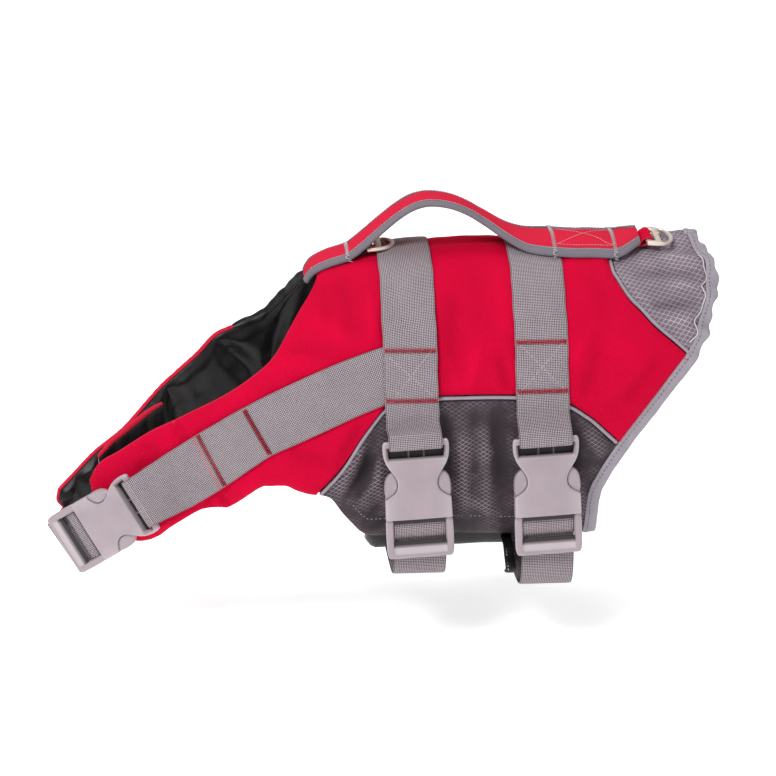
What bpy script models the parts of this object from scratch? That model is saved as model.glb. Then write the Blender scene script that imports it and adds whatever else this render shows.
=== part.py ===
"""Dog life jacket, buckled up and filled out as it is worn.

+X points to the tail, -Y is the side with the buckles, +Z is up. The origin lies on the
spine, on the inner face of the back, midway between the two girth straps.
Sizes are in millimetres here and become metres where a mesh is made. A place on the
garment is given by x and by an angle round the body: 0 is the spine, positive is the far
side, negative the near side, and lift is the height over the sewing line.
"""
import math

import bmesh
import bpy
import numpy as np
from mathutils import Matrix, Vector

MM = 0.001
NEAR = -1
FAR = 1
SIDES = ((NEAR, "near"), (FAR, "far"))

# The body that the cloth is cut to go round
# x, height of the spine, height of the widest line, height of the belly, half width, roundness
BODY = (
    (-340, -128, -212, -285, 15, 2.0),
    (-320, -118, -205, -280, 29, 2.0),
    (-300, -107, -196, -274, 41, 2.0),
    (-270, -88, -180, -265, 55, 2.0),
    (-240, -68, -165, -256, 66, 2.0),
    (-200, -42, -146, -246, 77, 2.0),
    (-165, -25, -132, -238, 83, 2.2),
    (-135, -14, -122, -233, 85, 2.6),
    (-100, -4, -112, -231, 85, 3.2),
    (-60, 3, -104, -230, 85, 3.4),
    (-20, 5, -100, -229, 85, 3.4),
    (40, 6, -98, -229, 85, 3.4),
    (90, 6, -96, -229, 84, 3.4),
    (130, 7, -92, -226, 80, 3.0),
    (165, 8, -86, -218, 75, 2.6),
    (200, 9, -80, -208, 69, 2.4),
)

# Outlines of the cut pieces, each row an x and an angle, the near side's own
NECK_NEAR = (
    (-303, 52), (-295, 45), (-278, 47), (-254, 48), (-237, 50), (-223, 51), (-204, 52),
    (-186, 51), (-166, 47), (-156, 42), (-148, 35), (-139, 27), (-129, 18), (-124, 9), (-123, 0),
)
FRONT_NEAR = ((-303, 52), (-299, 75), (-288, 100), (-272, 124))
LOWER_NEAR = (
    (-272, 124), (-261, 126), (-250, 124), (-240, 119), (-219, 113), (-205, 114), (-197, 116),
    (-188, 114), (-172, 109), (-163, 110), (-152, 112), (-146, 115), (-136, 119), (-127, 121),
)
NECK_FAR = (
    (-333, 57), (-318, 55), (-303, 54), (-279, 57), (-250, 49), (-221, 45), (-205, 40),
    (-184, 43), (-166, 44), (-148, 34), (-139, 27), (-129, 18), (-124, 9), (-123, 0),
)
FRONT_FAR = ((-333, 57), (-334, 78), (-330, 101))
LOWER_FAR = (
    (-330, 101), (-316, 104), (-300, 107), (-285, 112), (-270, 119), (-250, 121), (-219, 113),
    (-197, 115), (-172, 109), (-152, 112), (-127, 121),
)
ARCH_FRONT = ((-127, 121), (-108, 111), (-93, 98), (-77, 86), (-62, 83), (-40, 84))
ARCH_REAR = ((-40, 84), (-14, 85), (17, 86), (40, 88), (58, 91), (78, 100), (90, 107.5), (101, 114.5))
SPINE_FRONT = ((-123, 0), (-40, 0))
SPINE_REAR = ((-40, 0), (99, 0))
SPINE_RUMP = ((99, 0), (163, 0))
RUMP_SEAM = ((99, 0), (99, 23), (102, 30), (110, 40), (118, 46), (128, 54), (143, 64), (154, 72))
RIM_RUMP = ((163, 0), (165, 9), (169, 17), (172, 26), (171, 38), (168, 46), (162, 60), (154, 72))
RIM_SIDE = ((154, 72), (140, 83), (121, 99), (101, 114.5))
RIM_BELLY = ((101, 114.5), (87, 126), (80, 134), (79, 147))
HEM = (
    (-127, 121), (-118, 124), (-109, 132), (-101, 137), (-93, 141), (-84, 142), (-42, 143),
    (-11, 145), (20, 146), (79, 147),
)
# The belly flap: the angle from the spine on the near side, then x of its front and rear edge
BELLY_FLAP = ((130, -66, 70), (138, -78, 74), (150, -84, 74), (180, -80, 74), (226, -84, 74))
BELLY_ANGLES = (130, 136, 142, 147, 152, 157, 163, 172, 184, 195, 202, 208, 213, 218, 226)
BELLY_COLUMNS = 11
CHANNEL = ((-237, 50), (-215, 82), (-193, 114))

# Walls, all from the sewing line: foam panels, lining, belly flap
PANEL_WALL = 3.0
PANEL_PUFF = 3.0
PUFF_REACH = 14.0
SPINE_REACH = 28.0
SIDE_WALL = 2.0
SIDE_PUFF = 1.2
LINING_TOP = -4.6
LINING_WALL = 1.0
RUMP_PUFF = 1.6
BELLY_TOP = -7.0
BELLY_WALL = 2.2
LINING_EDGE = 1.6
SEAM_GAP = 2.1
EDGE_GAP = 0.15
PIPING_RADIUS = 1.6
PIPING_LIFT = 0.3
PIECE_STEP = 14.0
PANEL_ROWS = 8
# Where three pieces meet, the side and rump panels stop this far short of the corner
CORNER_TRIM = 9.0
RUFFLE_HEIGHT = 3.4
RUFFLE_ANGLE = 20.0
RUFFLE_END = 70.0
RUFFLE_REACH = 34.0
BINDING_WIDTH = 8.6
BINDING_INNER = 0.6
BINDING_UNDER = -5.0
BINDING_OVER = 1.7

# Webbing
WEB_WIDTH = 40.0
WEB_WALL = 1.8
WEB_LIFT = 4.5
LAP_LIFT = 6.7
# The girth straps sink towards the spine: the angle from it and the lift
WEB_LIFTS = ((0, 2.6), (6, 3.9), (12, WEB_LIFT))
GIRTH_STRAPS = (
    # name, x of the middle line, x of the buckle's top
    ("front", -58.0, -55.6),
    ("rear", 40.5, 42.4),
)
# Below this angle the girth straps lean to the rear, so far for each degree
GIRTH_LEAN_FROM = 60
GIRTH_LEAN = 0.03
GIRTH_STEP = 6
GIRTH_ENDS = (-94, 137)
# The angles where the front girth strap lies over the chest straps, and both over their loops
CHEST_LAP = (44, 92)
LOOP_LAP = 100
LOOP_END_ANGLES = (140, 132, 124, 116)
LOOP_END_LIFT = 4.1
# x and angle of the strap's upper edge, then of its lower edge
CHEST_STRAP_NEAR = (
    (-59, 54, -56, 79), (-95, 55, -80, 82), (-140, 57, -122, 86), (-184, 60, -164, 89.5),
    (-222, 62, -201, 101), (-243, 65, -222, 108),
)
CHEST_STRAP_FAR = (
    (-59, 54, -56, 79), (-95, 55, -80, 82), (-140, 57, -122, 86), (-184, 60, -164, 89.5),
    (-222, 62, -201, 101), (-250, 64, -228, 110), (-276, 68, -254, 117), (-296, 74, -275, 122),
)
# y and z of the girth straps' lower lengths, from the buckle round the belly to the far side
LOOP_FRONT = (
    (-94.0, -213), (-94.5, -222), (-91, -229.5), (-82, -233), (-60, -235), (-30, -236), (0, -236),
    (30, -236), (60, -235), (78, -231), (87, -223), (87, -210),
)
LOOP_REAR = (
    (-94.0, -213), (-96, -226), (-94, -237), (-85, -244), (-60, -246), (-30, -245.5), (0, -244.5),
    (30, -243), (60, -239), (80, -233), (89, -223), (88, -210),
)

# Buckles, in their own frame: u runs from the webbing bar to the far end, v is across
BAR_MIDDLE = 4.2
CHEST_BAR = (-263.4, -77.5, -173.2)
CHEST_ALONG = (-0.683, 0.469, -0.560)
CHEST_ACROSS = (0.510, -0.245, -0.827)
SIDE_BUCKLE_Y = -100.5
SIDE_BUCKLE_TOP = -119.7
SIDE_BUCKLE_LEAN = 0.052
FEMALE_OUTLINE = (
    # v, u of the right half
    (19.4, 1.2), (21.4, 0.0), (23.8, 0.8), (25.0, 3.2), (25.0, 8.5), (24.4, 13.0), (22.3, 18.5),
    (18.4, 24.5), (15.8, 29.0), (15.0, 33.0), (15.3, 36.5), (17.0, 39.8), (20.4, 42.6),
    (24.6, 45.0), (25.0, 46.4), (25.0, 61.4), (24.2, 62.2),
)
MALE_OUTLINE = (
    (13.0, 62.6), (13.0, 45.0), (14.0, 31.0), (15.5, 26.2), (18.4, 24.4), (21.8, 26.0),
    (24.4, 31.0), (25.2, 37.5), (24.6, 43.6), (22.5, 47.6), (22.5, 62.8), (24.8, 63.2),
    (25.5, 66.0), (25.5, 89.0), (24.4, 92.8), (21.0, 94.2),
)
FEMALE_SLOT = (21.2, 7.2, 13.0)
MALE_WINDOW = (21.3, 67.0, 83.5)
PRONG_ROOM = ((23.1, 70.0), (23.1, 46.6), (30.0, 46.6), (30.0, 23.6))
PRONG_ROOM_HALF = 3.5
MALE_HALF = 3.05
FEMALE_HALF = 5.6
FEMALE_BAR_HALF = 2.3
BUCKLE_EDGE = 0.8

# Handle: x, shift to the side, height over the spine, share of the back's curve, wall, half width
HANDLE = (
    (-133, -2, -2.5, 1.0, 3.6, 17.5),
    (-128.5, -2, 3.6, 1.0, 4.6, 19.0),
    (-118, -2, 6.4, 1.0, 7.0, 20.0),
    (-107, -2, 7.0, 1.0, 7.0, 20.0),
    (-100, -2, 7.6, 1.0, 5.2, 20.0),
    (-94, -2, 10.8, 1.1, 5.8, 20.0),
    (-86, -2, 15.6, 1.0, 6.0, 20.0),
    (-76, -2, 22.0, 0.7, 7.0, 20.0),
    (-62, -2, 30.5, 0.35, 7.0, 20.0),
    (-50, -2, 36.2, 0.3, 7.0, 20.0),
    (-38, -2, 38.2, 0.3, 7.0, 20.0),
    (-23, -2, 35.8, 0.3, 7.0, 20.0),
    (-9, -2, 30.0, 0.35, 7.0, 20.0),
    (5, -4, 22.0, 0.5, 7.0, 20.0),
    (20, -8, 13.8, 0.75, 6.6, 20.5),
    (34, -12, 9.6, 1.0, 6.4, 21.0),
    (48, -15, 9.0, 1.0, 6.4, 21.5),
    (56, -16, 9.0, 1.0, 5.2, 21.5),
    (70, -16, 7.8, 1.0, 6.8, 21.5),
    (86, -16, 7.6, 1.0, 6.8, 21.5),
    (103, -16, 6.8, 1.0, 5.2, 21.5),
    (111, -15, 7.8, 1.0, 6.4, 20.0),
    (118, -14, 8.6, 1.0, 5.6, 16.5),
    (123, -14, 9.4, 1.0, 4.2, 13.5),
)
HANDLE_BINDING = 7.0
HANDLE_EDGE_WALL = 3.6

# D-rings: x and y of the pivot, its height over the cloth, droop and tilt in degrees, and how
# deep the tab's end lies under the pivot
RINGS = (
    ("front", -84.5, -3.0, 6.8, -5.5, 0.0, -4.2),
    ("rear", 130.0, -14.0, 7.6, 4.0, 9.0, -3.9),
)
RING_HALF = 16.0
RING_BAR = 1.9
RING_LENGTH = 20.5
RING_WALL = 3.2
RING_SLOT = (10.6, 1.9, 5.2)
TAB_WIDTH = 18.0
TAB_WALL = 1.2
TAB_RADIUS = 3.2

# Middle of the far chest strap as it comes from the buckle under the far flap's end
CHEST_RUN = ((-330, 2, -237), (-325, 18, -237), (-318, 33, -231), (-309, 42.5, -222))

# The near chest flap's end, folded back inside: x, y, height of its top and of its lower edge
FOLD = (
    (-296, -31, -152, -198), (-286, -23, -143, -199), (-272, -17.5, -133, -196),
    (-258, -13.5, -123, -190), (-246, -11, -116, -182),
)
FOLD_WALL = 5.0

# The keeper beside the rear girth strap: x of its middle, width, wall, then its way from the
# belly flap as angle and lift, and down past the hem as y and z
KEEPER = (19.0, 8.0, 1.6)
KEEPER_SEWN = ((-162, -5.9), (-156, -5.9))
KEEPER_HANGING = ((-73, -216), (-83, -223), (-91, -228), (-93.5, -233), (-92, -238), (-88.5, -241))

COLOURS = {
    # red, green and blue, roughness, metallic
    "red canvas": (0.62, 0.005, 0.03, 0.8, 0.0),
    "rump ripstop": (0.23, 0.20, 0.22, 0.7, 0.0),
    "side ripstop": (0.10, 0.085, 0.095, 0.7, 0.0),
    "black satin": (0.018, 0.014, 0.016, 0.45, 0.0),
    "grey tape": (0.36, 0.33, 0.36, 0.8, 0.0),
    "grey webbing": (0.31, 0.29, 0.29, 0.75, 0.0),
    "grey plastic": (0.36, 0.33, 0.34, 0.45, 0.0),
    "nickel": (0.72, 0.66, 0.60, 0.3, 1.0),
}


def clear_scene():
    for obj in list(bpy.data.objects):
        bpy.data.objects.remove(obj, do_unlink=True)


def new_collection(name):
    group = bpy.data.collections.new(name)
    bpy.context.scene.collection.children.link(group)
    return group


def new_material(name):
    red, green, blue, roughness, metallic = COLOURS[name]
    material = bpy.data.materials.new(name)
    material.use_nodes = True
    shader = material.node_tree.nodes["Principled BSDF"]
    shader.inputs["Base Color"].default_value = (red, green, blue, 1.0)
    shader.inputs["Roughness"].default_value = roughness
    shader.inputs["Metallic"].default_value = metallic
    return material


# The body's surface
def body_at(x):
    """Blend the rows of BODY with a smooth curve and give the values at x."""
    rows = np.array(BODY, float)
    xs = rows[:, 0]
    x = min(max(x, xs[0]), xs[-1])
    i = min(max(int(np.searchsorted(xs, x)) - 1, 0), len(xs) - 2)

    def slope(k):
        a, b = max(k - 1, 0), min(k + 1, len(xs) - 1)
        return (rows[b, 1:] - rows[a, 1:]) / (xs[b] - xs[a])

    h = xs[i + 1] - xs[i]
    t = (x - xs[i]) / h
    start, end = rows[i, 1:], rows[i + 1, 1:]
    leave, arrive = slope(i) * h, slope(i + 1) * h
    return ((2 * t**3 - 3 * t**2 + 1) * start + (t**3 - 2 * t**2 + t) * leave
            + (3 * t**2 - 2 * t**3) * end + (t**3 - t**2) * arrive)


def skin_point(x, angle):
    spine, wide, belly, half, power = body_at(x)
    s, c = math.sin(math.radians(angle)), math.cos(math.radians(angle))
    n = 2.0 if c >= 0 else power
    reach = spine - wide if c >= 0 else wide - belly
    r = ((abs(s) / half) ** n + (abs(c) / reach) ** n) ** (-1 / n)
    return np.array([x, r * s, wide + r * c])


def skin_normal(x, angle):
    along = skin_point(x + 0.5, angle) - skin_point(x - 0.5, angle)
    round_body = skin_point(x, angle + 0.6) - skin_point(x, angle - 0.6)
    normal = np.cross(along, round_body)
    normal /= np.linalg.norm(normal)
    outward = np.array([0.0, math.sin(math.radians(angle)), math.cos(math.radians(angle))])
    return normal if np.dot(normal, outward) > 0 else -normal


def row_value(rows, key, column=1):
    """Read a table along its first column, with straight lines between the rows."""
    keys = [row[0] for row in rows]
    return float(np.interp(key, keys, [row[column] for row in rows]))


def ruffle_height(x, angle):
    """How high the gathered edge's waves stand at a place on the rump."""
    turn = abs(angle)
    if turn > RUFFLE_END:
        return 0.0
    edge = row_value([(row[1], row[0]) for row in RIM_RUMP], turn)
    near_edge = min(max((x - edge + RUFFLE_REACH) / RUFFLE_REACH, 0.0), 1.2)
    return RUFFLE_HEIGHT * near_edge**2 * min(1.0, (RUFFLE_END - turn) / 12.0)


def ruffle(x, angle):
    return ruffle_height(x, angle) * math.sin(2 * math.pi * abs(angle) / RUFFLE_ANGLE)


def skin(x, angle, lift=0.0):
    return skin_point(x, angle) + (lift + ruffle(x, angle)) * skin_normal(x, angle)


def lining_skin(x, angle):
    """The surface that the lining hangs on: it passes under the waves of the rump."""
    return skin_point(x, angle) - ruffle_height(x, angle) * skin_normal(x, angle)


# Curves on the surface
def smooth_rows(rows, step=2.0):
    """A close row of points on a Catmull-Rom curve through the rows of a table."""
    rows = np.array(rows, float)
    padded = np.vstack([2 * rows[0] - rows[1], rows, 2 * rows[-1] - rows[-2]])
    result = []
    for i in range(1, len(padded) - 2):
        a, b, c, d = padded[i - 1:i + 3]
        pieces = max(2, int(np.linalg.norm(c - b) / step))
        for k in range(pieces):
            t = k / pieces
            result.append(0.5 * (2 * b + (c - a) * t + (2 * a - 5 * b + 4 * c - d) * t**2
                                 + (3 * b - a - 3 * c + d) * t**3))
    result.append(rows[-1])
    return np.array(result)


def spread(rows, count, start=0.0, end=0.0):
    """Count + 1 places an equal way apart on a smooth curve, with its ends held back."""
    fine = smooth_rows(rows)
    points = np.array([skin_point(x, angle) for x, angle in fine])
    lengths = np.concatenate([[0], np.cumsum(np.linalg.norm(np.diff(points, axis=0), axis=1))])
    marks = np.linspace(start, lengths[-1] - end, count + 1)
    return np.column_stack([np.interp(marks, lengths, fine[:, k]) for k in range(2)])


def curve_length(rows):
    points = np.array([skin_point(x, angle) for x, angle in smooth_rows(rows)])
    return float(np.linalg.norm(np.diff(points, axis=0), axis=1).sum())


def joined(*runs):
    """One list of places from runs that share their end points."""
    result = [tuple(p) for p in runs[0]]
    for run in runs[1:]:
        result += [tuple(p) for p in run[1:]]
    return np.array(result)


def mirrored(rows):
    return tuple((row[0], -row[1]) for row in rows)


def on_side(rows, side):
    """A table is written for the far side: this turns it round for the near one."""
    return rows if side == FAR else mirrored(rows)


def patch(top, low, front, rear):
    """A grid between four lists of places: a Coons patch in x and angle."""
    n, m = len(top) - 1, len(front) - 1
    grid = np.zeros((n + 1, m + 1, 2))
    for i in range(n + 1):
        for j in range(m + 1):
            u, v = i / n, j / m
            edges = (1 - v) * top[i] + v * low[i] + (1 - u) * front[j] + u * rear[j]
            corners = ((1 - u) * (1 - v) * top[0] + u * (1 - v) * top[-1]
                       + (1 - u) * v * low[0] + u * v * low[-1])
            grid[i, j] = edges - corners
    return grid


# Solids
def finish_mesh(name, points, faces, colour, group, smooth_angle=40):
    mesh = bpy.data.meshes.new(name)
    mesh.from_pydata([tuple(float(c) * MM for c in p) for p in points], [], faces)
    obj = bpy.data.objects.new(name, mesh)
    group.objects.link(obj)
    cleaner = bmesh.new()
    cleaner.from_mesh(mesh)
    bmesh.ops.triangulate(cleaner, faces=[f for f in cleaner.faces if len(f.verts) > 4])
    bmesh.ops.recalc_face_normals(cleaner, faces=cleaner.faces)
    if cleaner.calc_volume(signed=True) < 0:
        bmesh.ops.reverse_faces(cleaner, faces=cleaner.faces)
    cleaner.to_mesh(mesh)
    cleaner.free()
    mesh.shade_smooth()
    mesh.set_sharp_from_angle(angle=math.radians(smooth_angle))
    mesh.materials.append(MATERIALS[colour])
    return obj


def pooled(grids):
    """Merge grids that share places, and give the places and the four-sided faces."""
    places, index, faces = [], {}, []
    for grid in grids:
        ids = np.zeros(grid.shape[:2], int)
        for i in range(grid.shape[0]):
            for j in range(grid.shape[1]):
                key = (round(float(grid[i, j, 0]), 2), round(float(grid[i, j, 1]), 2))
                if key not in index:
                    index[key] = len(places)
                    places.append(tuple(grid[i, j]))
                ids[i, j] = index[key]
        for i in range(grid.shape[0] - 1):
            for j in range(grid.shape[1] - 1):
                faces.append((ids[i, j], ids[i + 1, j], ids[i + 1, j + 1], ids[i, j + 1]))
    return places, faces


def open_edges(faces):
    """The edges with one face, each with that face."""
    seen = {}
    for face in faces:
        for a, b in zip(face, face[1:] + face[:1]):
            seen.setdefault((min(a, b), max(a, b)), []).append((a, b, face))
    return [uses[0] for uses in seen.values() if len(uses) == 1]


def edge_shift(points, normals, border, gaps):
    """Move each point of the border inwards, so that every edge keeps its own gap."""
    pulls = {}
    for a, b, face in border:
        middle = (points[a] + points[b]) / 2
        along = (points[b] - points[a]) / np.linalg.norm(points[b] - points[a])
        inward = np.mean([points[k] for k in face], axis=0) - middle
        inward -= along * np.dot(inward, along)
        inward /= np.linalg.norm(inward)
        gap = gaps(a, b)
        for k in (a, b):
            pulls.setdefault(k, []).append((inward, gap))
    shifts = {}
    for k, ((one, gap_one), (two, gap_two)) in pulls.items():
        dot = float(np.dot(one, two))
        if dot > 0.97:
            shifts[k] = (one * gap_one + two * gap_two) / (1 + dot)
            continue
        solved = np.linalg.solve([[1, dot], [dot, 1]], [gap_one, gap_two])
        shifts[k] = one * solved[0] + two * solved[1]
    return shifts


def panel(name, grids, piped, wall, puff, colour, group, creases=(), top=0.0, edge_gap=EDGE_GAP,
          surface=skin):
    """A cut piece as a closed wall: puffed over its middle, pulled back from its seams."""
    places, faces = pooled(grids)
    base = [surface(x, angle) for x, angle in places]
    normals = [skin_normal(x, angle) for x, angle in places]
    border = open_edges(faces)
    seams = [skin(x, angle) for rows in piped for x, angle in smooth_rows(rows, step=0.7)]
    on_seam = {k for k in {e[0] for e in border} | {e[1] for e in border}
               if seams and min(np.linalg.norm(base[k] - p) for p in seams) < 1.6}

    def gaps(a, b):
        return SEAM_GAP if a in on_seam and b in on_seam else edge_gap

    shifts = edge_shift(base, normals, border, gaps)
    rim = np.array([base[a] for a, _, _ in border]
                   + [skin(x, angle) for rows in creases for x, angle in smooth_rows(rows)])
    outer, inner = [], []
    for k, point in enumerate(base):
        far = float(np.min(np.linalg.norm(rim - point, axis=1)))
        rise = puff * math.sqrt(1 - (1 - min(far / PUFF_REACH, 1.0)) ** 2)
        thin = puff * math.sqrt(1 - (1 - min(abs(point[1]) / SPINE_REACH, 1.0)) ** 2)
        rise = min(rise, thin)
        seat = point + shifts.get(k, 0.0)
        outer.append(seat + normals[k] * (top + rise))
        inner.append(seat + normals[k] * (top - wall))
    count = len(outer)
    solid = [tuple(f) for f in faces]
    solid += [tuple(k + count for k in reversed(f)) for f in faces]
    solid += [(b, a, a + count, b + count) for a, b, _ in border]
    return finish_mesh(name, outer + inner, solid, colour, group)


def cloth_slab(name, grid, wall, colour, group):
    """A band of cloth from a grid of points on its middle: rows along, columns across."""
    grid = np.array(grid, float)
    along = np.gradient(grid, axis=0)
    across = np.gradient(grid, axis=1)
    normals = np.cross(along, across)
    normals /= np.linalg.norm(normals, axis=2, keepdims=True)
    rows, columns = grid.shape[:2]
    half = wall / 2
    points = list((grid + normals * half).reshape(-1, 3)) + list((grid - normals * half).reshape(-1, 3))
    count = rows * columns
    faces = []
    for i in range(rows - 1):
        for j in range(columns - 1):
            a, b = i * columns + j, (i + 1) * columns + j
            faces.append((a, b, b + 1, a + 1))
            faces.append((a + count, a + 1 + count, b + 1 + count, b + count))
    ring = ([(0, j) for j in range(columns)] + [(i, columns - 1) for i in range(1, rows)]
            + [(rows - 1, j) for j in range(columns - 2, -1, -1)]
            + [(i, 0) for i in range(rows - 2, 0, -1)])
    ids = [i * columns + j for i, j in ring]
    for a, b in zip(ids, ids[1:] + ids[:1]):
        faces.append((a, b, b + count, a + count))
    return finish_mesh(name, points, faces, colour, group)


def loft(name, rings, colour, group):
    """A closed solid through rings of the same number of points, with flat ends."""
    size = len(rings[0])
    points = [p for ring in rings for p in ring]
    faces = [tuple(range(size)), tuple(reversed(range(len(points) - size, len(points))))]
    for i in range(len(rings) - 1):
        for j in range(size):
            a, b = i * size + j, i * size + (j + 1) % size
            faces.append((a, b, b + size, a + size))
    return finish_mesh(name, points, faces, colour, group)


def tube(name, points, radius, colour, group):
    curve = bpy.data.curves.new(name, "CURVE")
    curve.dimensions = "3D"
    curve.bevel_depth = radius * MM
    curve.bevel_resolution = 1
    curve.use_fill_caps = True
    spline = curve.splines.new("POLY")
    spline.points.add(len(points) - 1)
    for knot, point in zip(spline.points, points):
        knot.co = (*(float(c) * MM for c in point), 1.0)
    curve.materials.append(MATERIALS[colour])
    obj = bpy.data.objects.new(name, curve)
    group.objects.link(obj)
    return obj


def plate_mesh(outlines, half, edge):
    """A flat plate with holes from outlines in u and v, as a mesh in its own frame."""
    curve = bpy.data.curves.new("outline", "CURVE")
    curve.dimensions = "2D"
    curve.fill_mode = "BOTH"
    curve.extrude = (half - edge) * MM
    curve.bevel_depth = edge * MM
    curve.bevel_resolution = 0
    curve.offset = -edge * MM
    for outline in outlines:
        spline = curve.splines.new("POLY")
        spline.points.add(len(outline) - 1)
        spline.use_cyclic_u = True
        for knot, (v, u) in zip(spline.points, outline):
            knot.co = (u * MM, v * MM, 0.0, 1.0)
    holder = bpy.data.objects.new("outline", curve)
    bpy.context.scene.collection.objects.link(holder)
    evaluated = holder.evaluated_get(bpy.context.evaluated_depsgraph_get())
    mesh = bpy.data.meshes.new_from_object(evaluated)
    bpy.data.objects.remove(holder)
    cleaner = bmesh.new()
    cleaner.from_mesh(mesh)
    bmesh.ops.remove_doubles(cleaner, verts=cleaner.verts, dist=0.00001)
    bmesh.ops.recalc_face_normals(cleaner, faces=cleaner.faces)
    cleaner.to_mesh(mesh)
    cleaner.free()
    return mesh


def both_halves(rows):
    return [(v, u) for v, u in rows] + [(-v, u) for v, u in reversed(rows)]


def round_box(half, low, high, corner):
    """A slot's outline with cut corners."""
    return [(half - corner, low), (half, low + corner), (half, high - corner), (half - corner, high),
            (corner - half, high), (-half, high - corner), (-half, low + corner), (corner - half, low)]


def frame_matrix(origin, along, across):
    """The place of a flat piece: u along, v across, w out of its face."""
    u = Vector(along).normalized()
    v = Vector(across)
    v = (v - u * v.dot(u)).normalized()
    w = u.cross(v)
    rows = Matrix((u, v, w)).transposed().to_4x4()
    rows.translation = Vector(origin) * MM
    return rows


def place_plate(name, mesh, matrix, colour, group):
    mesh.transform(matrix)
    mesh.name = name
    obj = bpy.data.objects.new(name, mesh)
    group.objects.link(obj)
    mesh.shade_smooth()
    mesh.set_sharp_from_angle(angle=math.radians(35))
    mesh.materials.clear()
    mesh.materials.append(MATERIALS[colour])
    return obj


# The cut pieces of the garment
def steps_for(*curves, step=PIECE_STEP):
    return max(2, round(max(curve_length(rows) for rows in curves) / step))


def red_half(neck, front, lower, side):
    """The red panel of one side, from the chest flap's end to the rear corner."""
    def along(rows, count):
        return spread(on_side(rows, side), count)

    n_chest = steps_for(neck, lower)
    n_front = steps_for(SPINE_FRONT, ARCH_FRONT)
    n_rear = steps_for(SPINE_REAR)
    n_seam = steps_for(RUMP_SEAM)
    top = joined(along(neck, n_chest), along(SPINE_FRONT, n_front), along(SPINE_REAR, n_rear),
                 along(RUMP_SEAM, n_seam))
    low = joined(along(lower, n_chest), along(ARCH_FRONT, n_front),
                 along(ARCH_REAR, n_rear + n_seam))
    return patch(top, low, along(front, PANEL_ROWS), along(RIM_SIDE, PANEL_ROWS))


def build_back(group):
    grids = [red_half(NECK_NEAR, FRONT_NEAR, LOWER_NEAR, NEAR),
             red_half(NECK_FAR, FRONT_FAR, LOWER_FAR, FAR)]
    piped = [ARCH_FRONT, ARCH_REAR, RUMP_SEAM]
    piped += [mirrored(rows) for rows in piped]
    creases = [CHANNEL, mirrored(CHANNEL)]
    panel("back_panel", grids, piped, PANEL_WALL, PANEL_PUFF, "red canvas", group, creases)


def build_sides(group):
    arch = joined(spread(ARCH_FRONT, 9), spread(ARCH_REAR, 11))
    columns, rows = 18, 5
    for side, label in SIDES:
        top = spread(on_side(arch, side), columns, start=CORNER_TRIM)
        low = spread(on_side(HEM, side), columns, start=CORNER_TRIM)
        front = np.linspace(top[0], low[0], rows + 1)
        rear = spread(on_side(RIM_BELLY, side), rows)
        grid = patch(top, low, front, rear)
        piped = [on_side(ARCH_FRONT, side), on_side(ARCH_REAR, side)]
        panel("side_panel_" + label, [grid], piped, SIDE_WALL, SIDE_PUFF, "side ripstop", group)


def build_rump(group):
    grids = []
    columns, rows = 12, 5
    for side, _ in SIDES:
        top = spread(on_side(RUMP_SEAM, side), columns, end=CORNER_TRIM)
        low = spread(on_side(RIM_RUMP, side), columns, end=CORNER_TRIM)
        front = spread(on_side(SPINE_RUMP, side), rows)
        rear = np.linspace(top[-1], low[-1], rows + 1)
        grids.append(patch(top, low, front, rear))
    piped = [RUMP_SEAM, mirrored(RUMP_SEAM)]
    panel("rump_panel", grids, piped, PANEL_WALL, RUMP_PUFF, "rump ripstop", group)


def build_lining(group):
    grids = []
    for side, neck, front, lower in ((NEAR, NECK_NEAR, FRONT_NEAR, LOWER_NEAR),
                                     (FAR, NECK_FAR, FRONT_FAR, LOWER_FAR)):
        def along(rows, count, side=side):
            return spread(on_side(rows, side), count)

        spine = (SPINE_FRONT[0], SPINE_RUMP[-1])
        rim = joined(along(RIM_RUMP, 6), along(RIM_SIDE, 3), along(RIM_BELLY, 3))
        top = joined(along(neck, 12), along(spine, 11))
        low = joined(along(lower, 12), along(HEM, 11))
        grids.append(patch(top, low, along(front, 12), rim))
    panel("lining", grids, [], LINING_WALL, 0.0, "black satin", group, top=LINING_TOP,
          edge_gap=LINING_EDGE, surface=lining_skin)


def build_belly(group):
    rows = []
    for angle in BELLY_ANGLES:
        start = row_value(BELLY_FLAP, angle)
        end = row_value(BELLY_FLAP, angle, 2)
        rows.append([(x, NEAR * angle) for x in np.linspace(start, end, BELLY_COLUMNS)])
    panel("belly_panel", [np.array(rows)], [], BELLY_WALL, 0.0, "black satin", group, top=BELLY_TOP)


def build_pipings(group):
    arch = joined(spread(ARCH_FRONT, 12), spread(ARCH_REAR, 16))
    for side, label in SIDES:
        places = spread(on_side(arch, side), 24, start=1.5, end=2.5)
        points = [skin(x, angle, PIPING_LIFT) for x, angle in places]
        tube("piping_side_" + label, points, PIPING_RADIUS, "grey tape", group)
    half = spread(RUMP_SEAM, 12, end=3.5)
    places = list(reversed(mirrored(half)))[:-1] + [tuple(p) for p in half]
    points = [skin(x, angle, PIPING_LIFT) for x, angle in places]
    tube("piping_rump", points, PIPING_RADIUS, "grey tape", group)


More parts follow.
